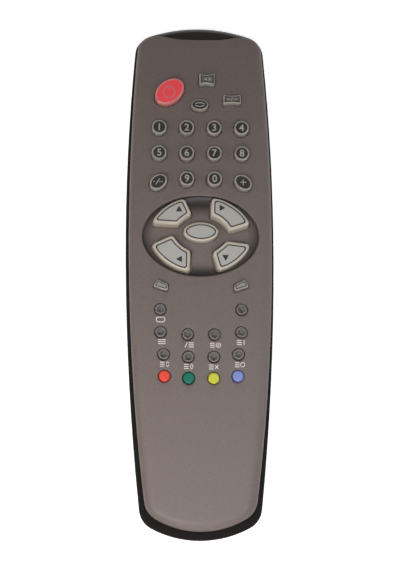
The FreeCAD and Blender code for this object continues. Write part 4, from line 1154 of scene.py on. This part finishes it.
class REMOTE_OT_menu_keys(bpy.types.Operator):
    """Two wedge keys, ten small hollow keys and the row of coloured keys"""
    bl_idname = "remote.menu_keys"
    bl_label = "Menu Keys"

    def execute(self, context):
        depth = sizes_of(context)["hollow_depth"]
        colours = colours_of(context)
        inks = key_finishes(colours)
        for key in keys("store_key", "search_key"):
            key.brow(WEDGE_EDGE)
            key.border(*WEDGE_BORDER, 2, 1)
            key.build("grey_rubber", [inks["body"], inks["wedge_top"], inks["dark"]], 1)
        small = silicone("small_key_silicone", colours["small_key"])
        for key in keys(*SMALL_KEYS):
            key.brow(SMALL_EDGE)
            cup = key.plan.ring(CUP_INSET)
            for scale in CUP_SCALES:
                key.grow(scaled(cup, key.place, scale), key.top - depth * (1 - scale ** 2))
            key.build("grey_rubber", [small])
        for key in keys(*COLOUR_KEYS):
            colour = key.node.split("_")[0]
            key.brow(COLOUR_EDGE)
            key.insets(*((inset, 0) for inset in COLOUR_INSETS))
            key.build("colour_" + colour, [silicone(colour + "_silicone", colours[colour], 0.4)])
        return {"FINISHED"}


class REMOTE_OT_insides(bpy.types.Operator):
    """Battery cells with their jackets, and the finishes of the pieces inside the case"""
    bl_idname = "remote.insides"
    bl_label = "Cells and Board"

    def execute(self, context):
        finishes = [plain_finish("nickel_plated_cell_end", "#C9C6BE", 0.28, 0.3, 0.002, metallic=1.0),
                    plain_finish("printed_cell_film", "#23262B", 0.25, 1.0, 0.001, coat=0.3),
                    plain_finish("copper_cell_film", "#B07A45", 0.28, 1.0, 0.001, metallic=0.7, coat=0.3)]
        turn = np.linspace(0, 2 * math.pi, 64, endpoint=False)
        for node, side in (("battery_cell_left", -1), ("battery_cell_right", 1)):
            low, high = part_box(node)
            x, z = (low.x + high.x) / 2 / MM, (low.z + high.z) / 2 / MM
            start = (low.y if side < 0 else high.y) / MM
            tip = (high.y - low.y) / MM
            end = tip - CELL_NUB
            # Radius, distance from the flat end, and slot of the band that ends there
            profile = ((4.3, 0, 0), (4.6, 0.15, 0), (4.9, 0.15, 0), (CELL_RADIUS, 0.5, 0),
                       (CELL_RADIUS, 0.7, 0), (CELL_RADIUS, 30.0, 1), (CELL_RADIUS, 42.0, 2),
                       (CELL_RADIUS, end - 0.5, 2), (4.9, end - 0.1, 0), (4.0, end, 0),
                       (CELL_NUB_RADIUS + 0.3, end, 0), (CELL_NUB_RADIUS, end + 0.2, 0),
                       (CELL_NUB_RADIUS, tip - 0.2, 0), (CELL_NUB_RADIUS - 0.2, tip, 0))
            rings = [np.column_stack([x - side * radius * np.sin(turn), np.full(64, start - side * depth),
                                      z + radius * np.cos(turn)]) for radius, depth, slot in profile]
            body = shell(rings, [slot for radius, depth, slot in profile])
            piece = smooth(new_piece(node.replace("battery_", "") + "_jacketed", *body))
            install(piece, "case", finishes, [node])
        for node, material in inner_finishes().items():
            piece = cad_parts[node]
            if not piece.material_slots:
                piece.data.materials.append(material)
            for slot in piece.material_slots:
                slot.material = material
        return {"FINISHED"}


class REMOTE_OT_stage(bpy.types.Operator):
    """Pale floor, soft studio light and the camera at the photograph's place"""
    bl_idname = "remote.stage"
    bl_label = "Stage"

    def execute(self, context):
        self.floor()
        self.light(context)
        self.camera(context)
        return {"FINISHED"}

    def seen(self, tree):
        """One for rays that look at the backdrop: straight, mirrored or through glass."""
        rays = add(tree, "LightPath").outputs
        either = add(tree, "Math", ((0, rays["Is Camera Ray"]), (1, rays["Is Glossy Ray"])),
                     operation="MAXIMUM").outputs[0]
        return add(tree, "Math", ((0, either), (1, rays["Is Transmission Ray"])),
                   operation="MAXIMUM").outputs[0]

    def floor(self):
        """White painted board that keeps the shadow: plain diffuse, lifted a little where it is seen."""
        corners = FLOOR_HALF * np.array([(-1, -1), (1, -1), (1, 1), (-1, 1)])
        floor = new_piece("floor", *plate(corners, -FLOOR_THICKNESS, 0.0))
        material = bpy.data.materials.new("white_painted_board")
        material.use_nodes = True
        tree = material.node_tree
        tree.nodes.clear()
        paint = add(tree, "BsdfDiffuse", (("Color", (FLOOR_GREY, FLOOR_GREY, FLOOR_GREY, 1)),))
        strength = add(tree, "Math", ((0, self.seen(tree)), (1, FLOOR_LIFT)), operation="MULTIPLY")
        lift = add(tree, "Emission", (("Strength", strength.outputs[0]),))
        both = add(tree, "AddShader", ((0, paint.outputs[0]), (1, lift.outputs[0])))
        add(tree, "OutputMaterial", (("Surface", both.outputs[0]),))
        floor.data.materials.append(material)

    def light(self, context):
        """Dim surroundings whose walls are seen as white, and four soft lamps.

        A wide gridded lamp hangs over the tail, a low one stands behind it, and a warm one and a cool
        one stand at the sides.
        """
        world = bpy.data.worlds.new("studio")
        context.scene.world = world
        world.use_nodes = True
        tree = world.node_tree
        tree.nodes.clear()
        way = add(tree, "TexCoord").outputs["Generated"]
        rise = add(tree, "SeparateXYZ", (("Vector", way),)).outputs["Z"]
        walls = add(tree, "MapRange", (("Value", rise), ("From Min", 0.5), ("From Max", 0.2)))
        white = add(tree, "Math", ((0, self.seen(tree)), (1, walls.outputs["Result"])),
                    operation="MULTIPLY")
        strength = add(tree, "Math", ((0, white.outputs[0]), (1, 1 - AMBIENT), (2, AMBIENT)),
                       operation="MULTIPLY_ADD")
        around = add(tree, "Background", (("Color", (1, 1, 1, 1)), ("Strength", strength.outputs[0])))
        add(tree, "OutputWorld", (("Surface", around.outputs[0]),))
        for name, place, size, power, spread, colour in LAMPS:
            lamp = bpy.data.lights.new(name, "AREA")
            lamp.shape = "DISK"
            lamp.size = size * MM
            lamp.energy = power
            lamp.spread = math.radians(spread)
            lamp.color = colour
            holder = bpy.data.objects.new(name, lamp)
            holder.location = Vector(place) * MM
            aim = Vector(LAMP_AIM) * MM
            holder.rotation_euler = (aim - holder.location).to_track_quat("-Z", "Y").to_euler()
            context.scene.collection.objects.link(holder)

    def camera(self, context):
        """Camera over the tail, rolled so that the remote stands upright but for a small turn."""
        target = Vector(LOOK_AT)
        lean = math.radians(CAMERA_LEAN)
        place = target + Vector((CAMERA_SIDE, -CAMERA_DISTANCE * math.sin(lean),
                                 CAMERA_DISTANCE * math.cos(lean)))
        forward = (target - place).normalized()
        roll = math.radians(CAMERA_ROLL)
        up = Vector((math.sin(roll), math.cos(roll), 0))
        up = (up - forward * up.dot(forward)).normalized()
        lens = bpy.data.cameras.new("camera")
        lens.sensor_fit = "VERTICAL"
        lens.sensor_height = SENSOR
        lens.lens = FOCAL_PIXELS * SENSOR / FRAME_SIZE[1]
        lens.shift_x = (FRAME_SIZE[0] / 2 - TARGET_PIXEL[0]) / FRAME_SIZE[1]
        lens.shift_y = (TARGET_PIXEL[1] - FRAME_SIZE[1] / 2) / FRAME_SIZE[1]
        lens.clip_start = 0.01
        holder = bpy.data.objects.new("camera", lens)
        turn = Matrix((forward.cross(up), up, -forward)).transposed().to_4x4()
        holder.matrix_world = Matrix.Translation(place * MM) @ turn
        context.scene.collection.objects.link(holder)
        context.scene.camera = holder
        context.scene.view_settings.view_transform = "Standard"


class REMOTE_PT_panel(bpy.types.Panel):
    """Steps that build the remote, and its settings"""
    bl_label = "TV Remote Control"
    bl_idname = "REMOTE_PT_panel"
    bl_space_type = "VIEW_3D"
    bl_region_type = "UI"
    bl_category = "Remote"

    def draw(self, context):
        for operator in OPERATORS:
            self.layout.operator(operator.bl_idname)
        for values, names in ((context.scene.remote_sizes, SIZES),
                              (context.scene.remote_colours, COLOURS)):
            for name in names:
                self.layout.prop(values, name)


OPERATORS = (REMOTE_OT_face, REMOTE_OT_face_prints, REMOTE_OT_tray, REMOTE_OT_window,
             REMOTE_OT_digit_keys, REMOTE_OT_upper_keys, REMOTE_OT_petals, REMOTE_OT_menu_keys,
             REMOTE_OT_insides, REMOTE_OT_stage)
CLASSES = (RemoteSizes, RemoteColours) + OPERATORS + (REMOTE_PT_panel,)


def register():
    for item in CLASSES:
        bpy.utils.register_class(item)
    bpy.types.Scene.remote_sizes = PointerProperty(type=RemoteSizes)
    bpy.types.Scene.remote_colours = PointerProperty(type=RemoteColours)


def unregister():
    del bpy.types.Scene.remote_colours
    del bpy.types.Scene.remote_sizes
    for item in reversed(CLASSES):
        bpy.utils.unregister_class(item)


def main():
    """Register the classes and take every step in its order."""
    register()
    for operator in OPERATORS:
        step = operator.bl_idname.split(".")[1]
        getattr(bpy.ops.remote, step)()


if __name__ == "__main__":
    main()
